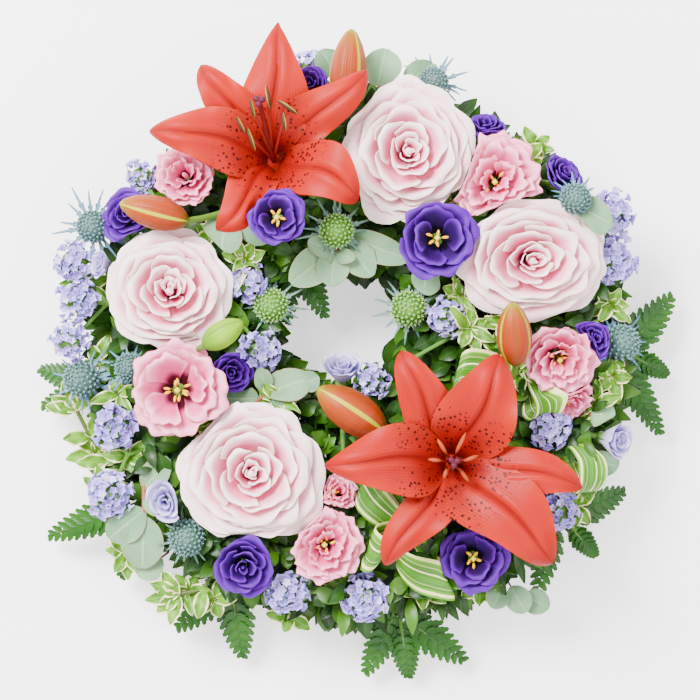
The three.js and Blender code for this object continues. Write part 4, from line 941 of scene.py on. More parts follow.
def sea_holly(name, foot, heads, nodes, fork=None, greens=0.0):
    """Heads given as top, radius, reach of the bracts, lean and seed, from blue to green."""
    floret_tone = 0.6 + 0.3 * greens
    bracts, solids, stems = [], [], []
    for at, radius, reach, lean, seed in heads:
        chance = random.Random(seed)
        base, side, front, axis = pose_of(at, 2.2 * radius, lean)
        for k in range(BRACTS):
            angle = 2 * math.pi * (k + chance.uniform(-0.3, 0.3)) / BRACTS
            out = math.cos(angle) * side + math.sin(angle) * front
            long = 1.12 * reach * mixed(0.8, 1.15, chance.random())
            tip = base + long * out + mixed(-0.25, 0.65, chance.random()) * radius * axis
            bracts.append(spiny_bract(base + 1.5 * out + 0.1 * axis, tip, axis, 0.2 + 0.3 * greens))
        core = [base + share * 2.05 * radius * axis for share in HEAD_SHAPE[:, 0]]
        corners, faces, up_it, round_it, _ = tube(core, 0.9 * radius * HEAD_SHAPE[:, 1], 18)
        solids.append((corners, faces, 0.3 + 0.1 * up_it, round_it, floret_tone))
        for k in range(FLORETS):
            share = 0.06 + 0.93 * (k / FLORETS) ** 0.82
            angle = k * GOLDEN_TURN
            wide = 0.9 * radius * np.interp(share, HEAD_SHAPE[:, 0], HEAD_SHAPE[:, 1])
            out = math.cos(angle) * side + math.sin(angle) * front
            steep = np.interp(share, [0, 0.3, 0.8, 1], [-0.35, 0.1, 0.9, 3.5])
            spot = base + share * 2.05 * radius * axis + wide * out
            size = 0.165 * radius * (1.15 - 0.35 * share)
            turned = frame_on(out + steep * axis, angle)
            solids.append(copied(FLORET, turned, spot, size, floret_tone))
        way = [*out_of_foam(foot), *([fork] if fork else []), base + 0.2 * axis]
        stems.append(tube(way, 1.7, 8, 0.3 + 0.3 * greens))
        wide = radius + 1
        take_room(base + 1.1 * radius * axis, [side, front, axis], [wide, wide, 1.3 * radius])
    plant = joined(name, grown(name, bracts, BRACT_WALL), grown("heads", solids + stems))
    put_on(plant, holly_blue, "thistle", *nodes)


holly_blue, tree, shader = principled("sea holly", 0.62)
tone = tone_of(tree)
along, out, _ = place_on(tree)
stem_green = ramp(tree, noise(tree, 300), [(0.3, "4f7468"), (0.7, "749480")])
bract = blended(tree, between(tree, along, 0.1, 0.8), "688a86", "4a7090")
bract = blended(tree, times(tree, between(tree, out, 0.35, 0.0), 0.5), bract, "a4bcbc")
blue = ramp(tree, along, [(0.2, "3a5a3c"), (0.45, "587876"), (0.75, "7c98a8"), (1.0, "b8cad8")])
green = ramp(tree, along, [(0.2, "3a6c10"), (0.45, "6a9c34"), (0.75, "a8c890"), (1.0, "e4eee6")])
floret = blended(tree, between(tree, tone, 0.7, 0.85), blue, green)
bract = blended(tree, between(tree, tone, 0.25, 0.3), bract, stem_green)
painted(tree, shader, blended(tree, between(tree, tone, 0.5, 0.56), bract, floret))
bumped(tree, shader, noise(tree, 1500), 0.0001, 0.4)

sea_holly("sea_holly_left", (-122, 60), [((-158, 76, 74), 9, 21, UP, 51)], ["thistle_a"])
sea_holly("sea_holly_pair", (-136, -8), [
    ((-136, -8, 74), 8, 16, UP, 52), ((-168, -15, 68), 10, 20, (-0.2, 0), 53)], ["thistle_b"], (-136, -8, 56))
sea_holly("sea_holly_inner_top", (-18, 95), [((-13, 73, 84), 9.5, 20, UP, 54)], ["thistle_c"], greens=1)
sea_holly("sea_holly_inner_left", (-81, 46), [((-52, 29, 74), 9.5, 18, UP, 55)], ["thistle_d"], greens=1)
sea_holly("sea_holly_inner_right", (66, 66), [((30, 27, 74), 10, 19, UP, 56)], ["thistle_e"], greens=1)
sea_holly("sea_holly_top", (40, 131), [((45, 165, 72), 8, 18, (0, 0.3), 57)], ["thistle_f"])
sea_holly("sea_holly_right", (134, 18), [((163, 7, 66), 10, 22, (0.5, 0), 58)], ["thistle_g"])
sea_holly("sea_holly_south", (-97, -97), [((-102, -109, 76), 10, 16, UP, 59)], ["thistle_h"], greens=0.4)
sea_holly("sea_holly_top_right", (112, 80), [((129, 92, 97), 8.5, 14, (0.2, 0.1), 60)], ["thistle_i"])


# The statice: domes of small, papery, crinkled florets, packed side by side on branched stems.
# Each clump sits on a branch of its own, and the main stem is pushed into the foam.
def paper_floret():
    """A funnel of five notched, papery lobes, with a wall on both sides."""
    rings = [(0.25, -0.9), (0.55, 0.0), (1.15, 0.55), (1.0, 0.42), (0.4, 0.1), (0.1, -0.2)]
    corners = []
    for level, (far, high) in enumerate(rings):
        for k in range(10):
            angle = math.pi * k / 5 + (0.12 if level % 2 else 0)
            lobe = 1.14 if k % 2 == 0 else 0.8
            crinkle = 0.16 * math.cos(3.1 * k + level) * far
            corners.append((far * lobe * math.cos(angle), far * lobe * math.sin(angle), high + crinkle))
    faces = []
    for ring in range(0, 50, 10):
        for k in range(10):
            beside = (k + 1) % 10
            faces.append((ring + k, ring + beside, ring + 10 + beside, ring + 10 + k))
    faces += [tuple(range(10))[::-1], tuple(range(50, 60))]
    corners = np.array(corners)
    far = np.clip(np.hypot(corners[:, 0], corners[:, 1]) / 1.2, 0, 1)
    return corners, faces, far, np.full(len(corners), 0.5)


PAPER = paper_floret()


def statice(name, foot, hub, clumps, seed, nodes):
    """Clumps given as top and radius, on branches that part at the hub."""
    chance = random.Random(seed)
    florets, stems = [], [tube([*out_of_foam(foot), hub], 1.4, 8)]
    for x, y, z, radius in clumps:
        centre = np.array([x, y, z - 0.55 * radius])
        bends = [hub, mixed(np.array(hub, float), centre, 0.4), centre - [0, 0, 0.8 * radius], centre]
        stems.append(tube(curve_points(bends, np.linspace(0, 1, 8)), 1.2))
        stems.append(pod(centre - [0, 0, 0.1 * radius], [1, 0.2, 0], 1.4 * radius, 0.62 * radius, 0, 12, 0.1))
        count = int(0.34 * radius ** 2)
        for k in range(count):
            share = (k + 0.5) / count
            polar = math.acos(1 - 1.25 * share)
            angle = k * GOLDEN_TURN + chance.uniform(-0.3, 0.3)
            low = math.sin(polar)
            out = np.array([low * math.cos(angle), low * math.sin(angle), math.cos(polar)])
            spot = centre + out * radius * chance.uniform(0.62, 1.1) * np.array([1, 1, 0.72])
            faces_to = out + [chance.uniform(-0.4, 0.4), chance.uniform(-0.4, 0.4), 0.25]
            tilt = frame_on(faces_to, chance.uniform(0, 6.28))
            size = 0.19 * radius * chance.uniform(0.8, 1.3)
            florets.append(copied(PAPER, tilt, spot, size, chance.uniform(0.4, 1)))
    for x, y, z, radius in clumps:
        take_room((x, y, z - 0.4 * radius), UPRIGHT, [radius, radius, 0.9 * radius])
    put_on(grown(name, florets + stems), statice_paper, "statice", *nodes)


statice_paper, tree, shader = principled("statice", 0.75, Subsurface_Weight=0.1, Subsurface_Scale=0.001)
tone = tone_of(tree)
along = place_on(tree)[0]
paper = blended(tree, between(tree, along, 0.1, 0.9), "8470c8", "aa9de6")
paper = blended(tree, times(tree, between(tree, tone, 0.7, 1.0), 0.8), paper, "d4cdf8")
paper = blended(tree, times(tree, between(tree, along, 0.22, 0.1), 0.8), paper, "f0f0c8")
painted(tree, shader, blended(tree, between(tree, tone, 0.2, 0.35), "4f7a26", paper))
bumped(tree, shader, noise(tree, 1600), 0.0002, 0.5)

statice("statice_outer_left", (-133, 28), (-150, 30, 56), [
    (-169, 55, 66, 12), (-167, 32, 66, 12), (-172, 8, 62, 11)], 61, ["statice_left"])
statice("statice_west", (-124, -56), (-138, -60, 55), [
    (-145, -43, 66, 13), (-148, -84, 66, 13)], 62, ["statice_lower_left"])
statice("statice_hole_left", (-90, 24), (-72, 22, 56), [
    (-58, 2, 68, 12), (-66, 42, 70, 11)], 63, ["statice_inner_left"])
statice("statice_outer_right", (124, 56), (138, 62, 56), [
    (150, 84, 68, 13), (152, 56, 66, 13)], 64, ["statice_right"])
statice("statice_bottom", (-22, -134), (-16, -142, 56), [
    (-42, -142, 67, 12), (4, -145, 66, 13)], 65, ["statice_south"])
statice("statice_hole_right", (92, 22), (62, 14, 56), [
    (8, -16, 66, 10), (52, 22, 70, 11)], 66, ["statice_inner_right"])
statice("statice_east", (112, -66), (112, -66, 57), [
    (114, -44, 66, 12), (118, -94, 62, 12)], 67, ["statice_lower_right"])
statice("statice_far_top", (-24, 140), (-26, 152, 56), [(-28, 171, 60, 10), (-44, 160, 62, 9)], 68, [])
statice("statice_far_left", (-118, 84), (-122, 94, 54), [(-130, 106, 55, 10)], 69, [])


# The striped leaves: long strips folded over into loops, green with cream stripes along them.
# Both ends of each strip meet in a knot, which a short stem holds in the foam.
def smooth_line(points, shares):
    """Points of a smooth curve through a line of points, spaced evenly along it."""
    points = np.asarray(points, float)
    ends = np.vstack([2 * points[0] - points[1], points, 2 * points[-1] - points[-2]])
    fine = []
    for k in range(len(points) - 1):
        a, b, c, d = ends[k:k + 4]
        t = np.linspace(0, 1, 24, endpoint=False)[:, None]
        squared = (2 * a - 5 * b + 4 * c - d) * t ** 2
        cubed = (3 * b - a - 3 * c + d) * t ** 3
        fine.append(0.5 * (2 * b + (c - a) * t + squared + cubed))
    fine = np.vstack(fine + [points[-1:]])
    length = np.concatenate([[0], np.cumsum(np.linalg.norm(np.diff(fine, axis=0), axis=1))])
    return np.column_stack([np.interp(np.asarray(shares) * length[-1], length, fine[:, k]) for k in range(3)])


def striped_loops(name, nodes, foot, knot, loops):
    """Strips given as the points that they fold over, half width and the way that they face."""
    strips = []
    for over, half_width, side in loops:
        across = unit(side)
        away = unit([over[0][0] - knot[0], over[0][1] - knot[1], 0])
        line = [np.array(knot) + 1.5 * away - [0, 0, 1], *over, np.array(knot) + 1.5 * away + [0, 0, 2]]

        def surface(u, v):
            wide = half_width * mixed(0.12, 1, np.sin(math.pi * np.clip(u, 0, 1)) ** 0.6)
            pleat = 0.35 * np.cos(v * 9) * np.sin(math.pi * u)
            points = smooth_line(line, u) + np.outer(wide * v, across)
            return bent_clear(points + np.outer(pleat, [0, 0, 1]))

        strips.append(sheet(56, 14, surface, 0.5))
    stem = tube([*out_of_foam(foot), (knot[0], knot[1], knot[2] + 2)], 2.4, 8)
    plant = joined(name, grown(name, strips, 0.6), grown("knot", [stem]))
    put_on(plant, striped_green, "striped_leaf", *nodes)


striped_green, tree, shader = principled("striped leaf", 0.38, Coat_Weight=0.12, Coat_Roughness=0.3)
across = place_on(tree)[2]
swayed = math_of(tree, "MULTIPLY_ADD", noise(tree, 45), 0.05, across)
stripes = ramp(tree, swayed, [
    (0.0, "4c8c10"), (0.09, "5a9a14"), (0.1, "f0e898"), (0.17, "f4ecac"), (0.18, "4a8e0c"),
    (0.3, "1c5a08"), (0.31, "e2e49a"), (0.325, "2c6c0a"), (0.52, "3c8208"), (0.6, "226208"),
    (0.61, "eeea9e"), (0.65, "eeea9e"), (0.66, "2a6a08"), (0.8, "3c7c0c"), (0.81, "d8e088"),
    (0.83, "3a7a0c"), (0.93, "5c9c14"), (0.95, "e8e694")])
thin_lines = effect(tree, fine_lines, Count=90.0)["Value"]
leaf = blended(tree, times(tree, thin_lines, 0.18), stripes, "94c038")
clouded = times(tree, between(tree, noise(tree, 60), 0.5, 0.8), 0.4)
painted(tree, shader, blended(tree, clouded, leaf, "1e5c08"))
bumped(tree, shader, thin_lines, 0.0002, 0.4)
striped_loops("striped_loops_south", ["loops_south"], (28, -100), (28, -100, 55), [
    ([(14, -90, 62), (1, -77, 74), (8, -88, 77), (20, -98, 68)], 12, (0.7, 0.7, 0.2)),
    ([(16, -106, 64), (3, -112, 74), (12, -118, 76), (22, -108, 66)], 12, (0.5, 0.8, 0.2)),
    ([(22, -118, 60), (34, -130, 68), (56, -134, 66), (46, -128, 58)], 12, (-0.1, 0.98, 0.15))])
striped_loops("striped_loop_right", ["loop_right"], (100, -24), (100, -24, 55), [
    ([(86, -12, 70), (64, -8, 80), (58, -14, 74), (74, -20, 62)], 12, (0.25, 0.95, 0.1)),
    ([(108, -14, 66), (114, -24, 70), (112, -36, 66), (104, -34, 58)], 9, (0.9, 0.4, 0.1))])
striped_loops("striped_loop_far_right", [], (122, -62), (126, -64, 52), [
    ([(130, -54, 60), (138, -62, 66), (139, -76, 62), (134, -82, 54)], 9, (0.98, 0.15, -0.2))])


# The eucalyptus: round, thin, matt leaves in pairs on a slim reddish twig, pale grey green with a
# bloom of wax. The twigs are pushed into the foam, and some leaves stand alone between the blooms.
def leaf_axes(root, tip):
    """A leaf's way from root to tip, its length, and the directions along, across and up."""
    long = np.asarray(tip, float) - np.asarray(root, float)
    length = np.linalg.norm(long)
    way = long / length
    side = unit([-way[1], way[0], 0])
    up = unit(np.cross(way, side))
    return long, length, way, side, up * (1 if up[2] >= 0 else -1)


def leaf_surface(root, tip, half_width, seed, fold, wave, waves, roundness, droop=0.08, notch=0.0):
    """A leaf's surface from root to tip, in millimetres. A notch gives it a toothed edge."""
    long, length, _, side, up = leaf_axes(root, tip)

    def surface(u, v):
        wide = half_width * np.maximum(np.sin(math.pi * mixed(0.015, 0.985, u)), 0.0) ** roundness
        toothed = 1 + notch * (np.round(u * 14) % 2) * np.abs(v)
        arched = droop * length * np.sin(math.pi * u)
        waved = wave * np.sin(waves * u + seed + 0.8 * v) * v ** 2
        rib = -0.35 * np.exp(-((v / 0.1) ** 2))
        points = np.asarray(root) + np.outer(u, long) + np.outer(wide * v * toothed, side)
        return bent_clear(points + np.outer(arched + fold * wide * v ** 2 + waved + rib, up))

    return surface


def leafy_twig(name, node_name, way, leaves, kind):
    """A twig with its leaves, each given as root, tip and half width."""
    parts = []
    for k, (root, tip, half_width) in enumerate(leaves):
        surface = leaf_surface(root, tip, half_width, 2.0 * k, **kind["shape"])
        parts.append(sheet(*kind["steps"], surface, 0.5 + 0.4 * (k % 2)))
    twig = joined(name, grown(name, parts, kind["wall"]), grown("twig", [tube(way, 1.3, 8)]))
    put_on(twig, *kind["finish"], node_name)


# A leaf's colour: its face, the rib, the side veins and cloudy patches.
leaf_colours, given, ends = shared_effect(
    "leaf colours", {"Face": "ffffff", "Back": "ffffff", "Rib": "ffffff", "Share": 0.7}, {"Color": "Color"})
along, out, _ = place_on(leaf_colours)
clouded = between(leaf_colours, noise(leaf_colours, 60), 0.35, 0.7)
shade = blended(leaf_colours, clouded, given["Face"], given["Back"])
feather = math_of(leaf_colours, "MULTIPLY_ADD", along, 60.0, times(leaf_colours, out, -22.0))
feather = between(leaf_colours, math_of(leaf_colours, "SINE", feather), 0.86, 1.0)
feather = times(leaf_colours, times(leaf_colours, feather, given["Share"]), 0.4)
shade = blended(leaf_colours, feather, shade, given["Rib"])
rib_share = times(leaf_colours, between(leaf_colours, out, 0.09, 0.02), given["Share"])
leaf_colours.links.new(blended(leaf_colours, rib_share, shade, given["Rib"]), ends["Color"])

gum_grey, tree, shader = principled("eucalyptus leaf", 0.62)
out = place_on(tree)[1]
leaf = effect(tree, leaf_colours, Face="749a72", Back="5f8a64", Rib="a8bc92", Share=0.45)["Color"]
leaf = blended(tree, times(tree, between(tree, out, 0.94, 1.0), 0.6), leaf, "b9806a")
painted(tree, shader, blended(tree, between(tree, tone_of(tree), 0.2, 0.3), "9a5a3c", leaf))
bumped(tree, shader, noise(tree, 700), 0.00015, 0.4)
GUM = {
    "finish": (gum_grey, "eucalyptus_leaf"), "steps": (14, 10), "wall": 0.5,
    "shape": {"fold": 0.12, "wave": 0.9, "waves": 5.0, "roundness": 0.55}}
leafy_twig("eucalyptus_hole_top", "eucalyptus_top",
           [*out_of_foam((-5, 94), 54), (-5, 72, 58), (-14, 60, 64)],
           [[(-14, 62, 63), (-40, 42, 68), 11], [(-14, 62, 63), (-16, 40, 70), 10],
            [(-8, 68, 60), (8, 46, 68), 10], [(-5.8, 71, 58.5), (30, 56, 68), 10],
            [(-12, 62, 63), (-30, 66, 71), 7], [(-14, 60, 64), (-2, 56, 74), 5]], GUM)
leafy_twig("eucalyptus_hole_left", "eucalyptus_left",
           [*out_of_foam((-82, -46), 54), (-66, -34, 58), (-56, -24, 64)],
           [[(-60, -28, 61.6), (-82, -26, 57), 9], [(-57, -25, 63.4), (-28, -14, 67), 11],
            [(-62, -30, 60.4), (-44, -38, 62), 8], [(-56, -24, 64), (-58, -8, 70), 6]], GUM)
leafy_twig("eucalyptus_west", "eucalyptus_lower_left",
           [*out_of_foam((-118, -66), 54), (-128, -76, 57), (-128, -98, 56)],
           [[(-128, -80, 57), (-112, -62, 60), 9], [(-128, -86, 57), (-112, -93, 62), 7],
            [(-128, -93, 57), (-149, -110, 55), 11], [(-128, -97, 56), (-129, -128, 54), 13]], GUM)

# Each lone leaf: its root, the way that it points in degrees, its length and its half width.
LONE_GUM_LEAVES = [
    ((12, 158, 60), 80, 24, 12), ((28, 158, 58), 40, 22, 9), ((-14, 166, 60), 120, 17, 9),
    ((-77, 80, 72), 250, 24, 12), ((-66, 84, 70), 300, 22, 11), ((122, 84, 80), -20, 26, 12),
    ((137, -36, 56), 0, 16, 9), ((141, -62, 47), -20, 16, 9), ((92, -140, 42), -60, 18, 8),
    ((100, -146, 36), -25, 17, 8), ((86, -140, 44), -110, 14, 7), ((-35, -20, 66), 30, 14, 7),
    ((44, 52, 66), 250, 18, 10), ((-118, -122, 48), 215, 18, 9)]
lone = []
for root, turn, reach, half_width in LONE_GUM_LEAVES:
    way = np.array([math.cos(math.radians(turn)), math.sin(math.radians(turn)), 0.1])
    surface = leaf_surface(root, root + reach * way, half_width, root[0], **GUM["shape"])
    lone.append(sheet(12, 8, surface, 0.6))
    lone.append(tube([root + 1.5 * way, root - 4 * way - [0, 0, 12]], 0.7))
put_on(grown("eucalyptus_leaves", lone), *GUM["finish"])


# The small variegated leaves: wavy, lime green with cream edges, in whorls on short olive twigs.
# The twigs are pushed in low, so that the whorls fill the gaps between the flowers.
wavy_lime, tree, shader = principled("variegated leaf", 0.45, Coat_Weight=0.08, Coat_Roughness=0.35)
out = place_on(tree)[1]
leaf = effect(tree, leaf_colours, Face="3f780a", Back="629a1a", Rib="98b83a", Share=0.5)["Color"]
cream = between(tree, math_of(tree, "MULTIPLY_ADD", noise(tree, 260), 0.5, out), 0.98, 1.1)
leaf = blended(tree, cream, leaf, "ebe8a4")
painted(tree, shader, blended(tree, between(tree, tone_of(tree), 0.2, 0.3), "4a5a22", leaf))
bumped(tree, shader, noise(tree, 500), 0.0002, 0.4)
WAVY = {
    "finish": (wavy_lime, "wavy_leaf"), "steps": (12, 5), "wall": 0.45,
    "shape": {"fold": 0.2, "wave": 1.9, "waves": 12.0, "roundness": 0.8}}


def wavy_leaves(way, seed):
    """Leaves in pairs along a twig, less the first, with three more at its end."""
    chance = random.Random(seed)
    leaves = []
    for k, (x, y, z) in enumerate(way):
        back, on = way[max(k - 1, 0)], way[min(k + 1, len(way) - 1)]
        heading = math.atan2(on[1] - back[1], on[0] - back[0])
        for turn in [-1.1, 1.1] + ([0, 0.5, -0.5] if k == len(way) - 1 else []):
            angle = heading + turn + chance.uniform(-0.15, 0.15)
            long = chance.uniform(15, 20)
            leaves.append([(x, y, z), (x + long * math.cos(angle), y + long * math.sin(angle), z + 5), 4.8])
    return leaves[1:]


west_way = [(-150, -64, 38), (-162, -50, 38), (-170, -34, 40)]
leafy_twig("variegated_twig_left", "wavy_leaves_left", [(-126, -49, 38), (-146, -57, 38), *west_way],
           wavy_leaves(west_way, 71), WAVY)
south_way = [(-93, -142, 44), (-108, -144, 46)]
leafy_twig("variegated_twig_south", "wavy_leaves_south", [(-75, -111, 40), (-86, -127, 40), *south_way],
           wavy_leaves(south_way, 72), WAVY)
WHORLS = [
    (-143, -24, 54), (-137, -61, 50), (-156, -4, 48), (66, 17, 64), (84, 2, 62), (-102, -143, 40),
    (-87, -148, 36), (-41, -158, 36), (74, -140, 40), (152, -13, 50), (130, -91, 48), (-69, 55, 64),
    (-140, -120, 34), (-152, -82, 40), (98, 114, 66), (106, 122, 58), (150, 30, 50), (-86, -44, 62),
    (88, 24, 62), (62, 36, 62), (-165, 40, 46), (-48, -30, 60), (96, -8, 60), (-88, 70, 62),
    (56, 96, 62), (-160, -60, 34), (38, -140, 44), (140, -30, 54)]
whorled = []
for seed, (x, y, z) in enumerate(WHORLS):
    chance = random.Random(seed)
    start, count = chance.uniform(0, 6.28), chance.choice([5, 6, 7])
    for k in range(count):
        angle = start + 2 * math.pi * k / count + chance.uniform(-0.3, 0.3)
        long = chance.uniform(10, 18)
        tip = (x + long * math.cos(angle), y + long * math.sin(angle), z + chance.uniform(-1, 9))
        surface = leaf_surface((x, y, z), tip, 4.4, float(k), **WAVY["shape"])
        whorled.append(sheet(*WAVY["steps"], surface, 0.6))
    inward = 1 - 22 / math.hypot(x, y)
    whorled.append(tube([(x, y, z + 1), (x * inward, y * inward, z - 16)], 0.9))
put_on(grown("variegated_leaves", whorled), *WAVY["finish"])


# The ferns: stiff, leathery, glossy fronds under the flowers, pushed into the side of the foam.
# Each frond carries pinnae, and each pinna carries toothed leaflets that shorten towards its tip.
def leaflet(start, end, half_width, up):
    """A toothed leaflet, widest near its foot."""
    long = end - start
    side = unit(np.cross(up, long))

    def surface(u, v):
        tooth = np.round(u * 10) % 2
        outline = np.minimum(4 * u + 0.4, 1) * np.maximum(1 - u, 0.0) ** 0.5
        wide = half_width * outline * mixed(0.84, 1.1, tooth) + 0.12
        swept = 1.1 * tooth * np.abs(v) * (1 - u)
        lift = 0.3 * wide * v ** 2 - 0.08 * np.linalg.norm(long) * u ** 2
        points = start + np.outer(u, long) + np.outer(wide * v, side) + np.outer(swept, unit(long))
        return bent_clear(points + np.outer(lift, up))

    return surface


def fern_pinna(root, tip, half_width, tone):
    """The leaflets of one pinna and its rib."""
    long, length, way, side, up = leaf_axes(root, tip)

    def spine(share):
        return root + share * long + 0.1 * length * math.sin(math.pi * share) * up

    parts = []
    pairs = max(8, int(length / 6))
    for k in range(pairs):
        share = mixed(0.12, 0.93, k / (pairs - 1))
        outline = (1 - share) ** 0.7 * min(1, 3.2 * share + 0.4)
        reach = min(1.8 * half_width, 0.36 * length) * outline + 1.8
        for hand in (-1, 1):
            start = spine(share + 0.015 * hand)
            end = start + reach * (0.72 * hand * side + 0.7 * way) + (0.08 * reach - 0.4) * up
            parts.append(sheet(10, 2, leaflet(start, end, 0.2 * reach + 1.0, up), tone))
    parts.append(sheet(10, 2, leaflet(spine(0.88), tip, 1.8, up), tone))
    line = [spine(share) for share in np.linspace(0, 0.96, 8)]
    return parts, tube(bent_clear(np.array(line)), np.linspace(0.8, 0.35, 8), 6, 0.1)


def fern(name, node_name, foot_angle, tips, inner=False):
    """A frond whose foot is in the foam's wall. Each tip is a pinna's end and half width."""
    angle = math.radians(foot_angle)
    outward = np.array([math.cos(angle), math.sin(angle), 0])
    into = outward if inner else -outward
    foot = (FOAM_INSIDE if inner else FOAM_OUTSIDE) * outward + [0, 0, 26]
    blades, ribs = [], []
    for k, (x, y, z, half_width) in enumerate(tips):
        sheets, rib = fern_pinna(foot - into * (5 + 5 * k), (x, y, z), half_width, 0.4 + 0.15 * (k % 3))
        blades += sheets
        ribs.append(rib)
    ribs.append(tube([foot + 14 * into, foot - into * (6 + 5 * len(tips))], 1.5, 8, 0.1))
    frond = joined(name, grown(name, blades, 0.45), grown("ribs", ribs))
    put_on(frond, fern_green, "fern_leaf", node_name)


fern_green, tree, shader = principled("fern", 0.4)
tone = tone_of(tree)
leaf = effect(tree, leaf_colours, Face="1a4e02", Back="2a6606", Rib="447a12", Share=0.3)["Color"]
leaf = blended(tree, times(tree, tone, 0.5), leaf, "0c3002")
painted(tree, shader, blended(tree, between(tree, tone, 0.2, 0.3), "4f7a24", leaf))
bumped(tree, shader, noise(tree, 600), 0.0002, 0.4)
fern("fern_south_west", "fern_lower_left", 214, [(-146, -138, 14, 9), (-191, -112, 14, 10)])
fern("fern_south_south_west", "fern_bottom_left", 241, [(-112, -169, 12, 10), (-71, -187, 12, 10)])
fern("fern_south", "fern_bottom", 279, [(4, -197, 12, 9), (66, -189, 12, 10), (31, -199, 12, 9)])
fern("fern_south_east", "fern_lower_right", 321, [(108, -152, 14, 8), (164, -84, 14, 9), (146, -124, 14, 9)])
fern("fern_east", "fern_right", 0, [(186, -50, 14, 9), (193, 36, 16, 10), (190, -13, 14, 9)])
fern("fern_west", "fern_left", 187, [(-194, -32, 18, 8), (-195, -9, 20, 8)])
fern("fern_in_hole", "fern_inner", 122, [(-44, 18, 26, 7), (-20, 22, 26, 8)], inner=True)


# The filler foliage: sprigs of glossy leaves pushed in all over the foam and round the tray. They are dark
# green, and darker still as painted shade between the blooms.
# They hide the foam, reach up between the blooms, and narrow the hole.
FILLER_LEAF = {"fold": 0.25, "wave": 0.7, "waves": 7.0, "roundness": 0.75, "droop": 0.12, "notch": 0.12}
SPRIG_LEAF = {"fold": 0.22, "wave": 0.8, "waves": 8.0, "roundness": 0.75, "droop": 0.12, "notch": 0.12}


def filler_leaves(count, seed, place, long_range, half_range):
    """Leaves at random places, each placed as root and direction. Those in a bloom are left out."""
    chance = random.Random(seed)
    leaves = []
    for k in range(count):
        root, way = place(chance)
        tip = np.array(root) + chance.uniform(*long_range) * unit(way)
        surface = leaf_surface(root, tip, chance.uniform(*half_range), k, **FILLER_LEAF)
        if not crowded(root, (root + tip) / 2, tip):
            leaves.append(sheet(6, 2, surface, chance.random()))
    return leaves


def on_top(chance):
    angle = chance.uniform(0, 2 * math.pi)
    radius = chance.uniform(FOAM_INSIDE + 6, FOAM_OUTSIDE - 5)
    lean = chance.uniform(0, 2 * math.pi)
    spot = (radius * math.cos(angle), radius * math.sin(angle), chance.uniform(47, 60))
    return spot, (math.cos(lean), math.sin(lean), chance.uniform(-0.1, 0.7))


def round_outside(chance):
    angle = chance.uniform(0, 2 * math.pi)
    lean = angle + chance.uniform(-0.9, 0.9)
    radius = FOAM_OUTSIDE - 1
    spot = (radius * math.cos(angle), radius * math.sin(angle), chance.uniform(10, 46))
    return spot, (math.cos(lean), math.sin(lean), chance.uniform(-0.35, 0.5))


def round_inside(chance):
    angle = chance.uniform(0, 2 * math.pi)
    lean = angle + math.pi + chance.uniform(-1.45, 1.45)
    radius = FOAM_INSIDE + 1
    spot = (radius * math.cos(angle), radius * math.sin(angle), chance.uniform(10, 46))
    return spot, (math.cos(lean), math.sin(lean), chance.uniform(-0.3, 0.5))


HOLE_MIDDLE = (-14, 17)
HOLE_RADII = (41, 37)


def inward_sprigs(count, seed, leaf_size, heights):
    """Leafy sprigs from the foam's inner wall that end round the hole."""
    chance = random.Random(seed)
    leaves, stems = [], []
    for k in range(count):
        angle = 2 * math.pi * (k + chance.uniform(-0.4, 0.4)) / count
        way = np.array([math.cos(angle), math.sin(angle)])
        wall = (FOAM_INSIDE + 1) * way
        end = np.array(HOLE_MIDDLE) + way * HOLE_RADII * chance.uniform(1.08, 1.35)
        start = np.array([*wall, chance.uniform(0.7, 0.85) * heights[1]])
        stop = np.array([*end, chance.uniform(*heights)])
        bends = [start + [*(8 * way), 0], start, mixed(start, stop, 0.6) + [0, 0, 6], stop]
        line = curve_points(bends, np.linspace(0, 1, 9))
        stems.append(tube(line, 0.7, 5))
        step = unit(stop - start)
        for j, root in enumerate(line[2:]):
            hand = 1 if j % 2 else -1
            spread = step * 0.75 + hand * unit([-step[1], step[0], 0]) + [0, 0, chance.uniform(0, 0.6)]
            tip = root + chance.uniform(*leaf_size) * unit(spread)
            surface = leaf_surface(root, tip, 0.38 * leaf_size[0], j, **SPRIG_LEAF)
            if not crowded(root, (root + tip) / 2, tip):
                leaves.append(sheet(6, 2, surface, chance.random()))
    return leaves, stems


filler_green_and_shade, tree, shader = principled("filler leaf", 0.42)
# The leaves' very dark green is partly their own colour and partly painted shade for the shadows between the
# blooms.
leaf = effect(tree, leaf_colours, Face="0e2e02", Back="1e4606", Rib="426c16", Share=0.4)["Color"]
young = times(tree, between(tree, tone_of(tree), 0.45, 1.0), 0.8)
painted(tree, shader, blended(tree, young, leaf, "44740a"))
bumped(tree, shader, noise(tree, 500), 0.0002, 0.4)
FILLER = (filler_green_and_shade, "fern_leaf")
FILLER_WALL = 0.4
# Each group: its name, how many leaves are tried, the seed, the places, the lengths and half widths.
FILLERS = [
    ("filler_top", 1380, 5, on_top, (10, 19), (2.5, 5)),
    ("filler_outside", 720, 6, round_outside, (10, 24), (2.5, 5)),
    ("filler_inside", 430, 7, round_inside, (10, 20), (3, 5.5))]
for name, *how in FILLERS:
    put_on(grown(name, filler_leaves(*how), FILLER_WALL), *FILLER)

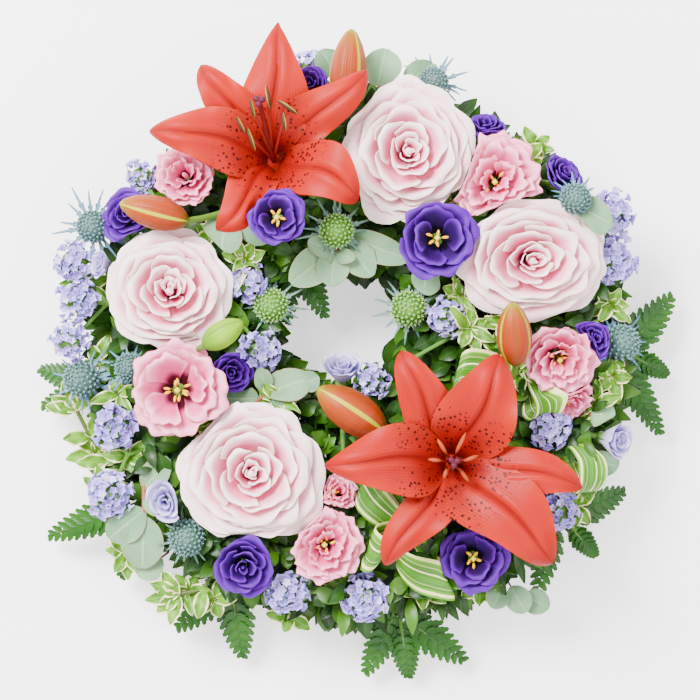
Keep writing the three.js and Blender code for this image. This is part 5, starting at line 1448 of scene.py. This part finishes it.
# Each ring of sprigs: its name, how many there are, the leaves' lengths and the sprigs' heights.
SPRIG_SEED = 12
SPRIGS = [("upper_sprigs", 64, (11, 18), (28, 56)), ("lower_sprigs", 60, (15, 22), (14, 30))]
for name, count, leaf_size, heights in SPRIGS:
    leafy, stalks = inward_sprigs(count, SPRIG_SEED, leaf_size, heights)
    put_on(joined(name, grown(name, leafy, FILLER_WALL), grown("sprig_stems", stalks)), *FILLER)


# The floor, a white studio, three soft lights and the camera, which looks straight down as the
# photograph does. The floor glows a little, so that it comes out as pale as in the photograph.
FLOOR_SIZE = 6
bpy.ops.mesh.primitive_plane_add(size=FLOOR_SIZE)
floor = bpy.context.object
floor.name = "floor"
pale_floor, tree, shader = principled("pale floor", 0.8)
shader.inputs["Base Color"].default_value = (0.95, 0.95, 0.95, 1)
shader.inputs["Emission Color"].default_value = (1, 1, 1, 1)
shader.inputs["Emission Strength"].default_value = 1.0
floor.data.materials.append(pale_floor)
floor.select_set(False)

world = bpy.data.worlds.new("studio")
bpy.context.scene.world = world
world.use_nodes = True
sky = world.node_tree.nodes["Background"]
sky.inputs["Color"].default_value = (1, 1, 1, 1)
sky.inputs["Strength"].default_value = 1.25

# Each light: its name, its place, its size in metres and its power in watts.
LIGHTS = [
    ("key", (-0.9, 0.9, 1.6), 0.9, 150),
    ("fill", (1.2, 0.3, 1.5), 1.4, 26),
    ("front", (0.1, -1.3, 1.3), 1.2, 20)]
for name, spot, size, power in LIGHTS:
    bpy.ops.object.light_add(type="AREA", location=spot)
    lamp = bpy.context.object
    lamp.name = name
    lamp.data.size = size
    lamp.data.energy = power
    lamp.rotation_euler = (-Vector(spot)).to_track_quat("-Z", "Y").to_euler()
    lamp.select_set(False)

CAMERA_PLACE = (-0.005, 0.0025, 1.5)
HALF_PICTURE = 0.217
bpy.ops.object.camera_add(location=CAMERA_PLACE, rotation=(0, 0, 0))
camera = bpy.context.object
camera.data.angle = 2 * math.atan(HALF_PICTURE / CAMERA_PLACE[2])
bpy.context.scene.camera = camera
camera.select_set(False)
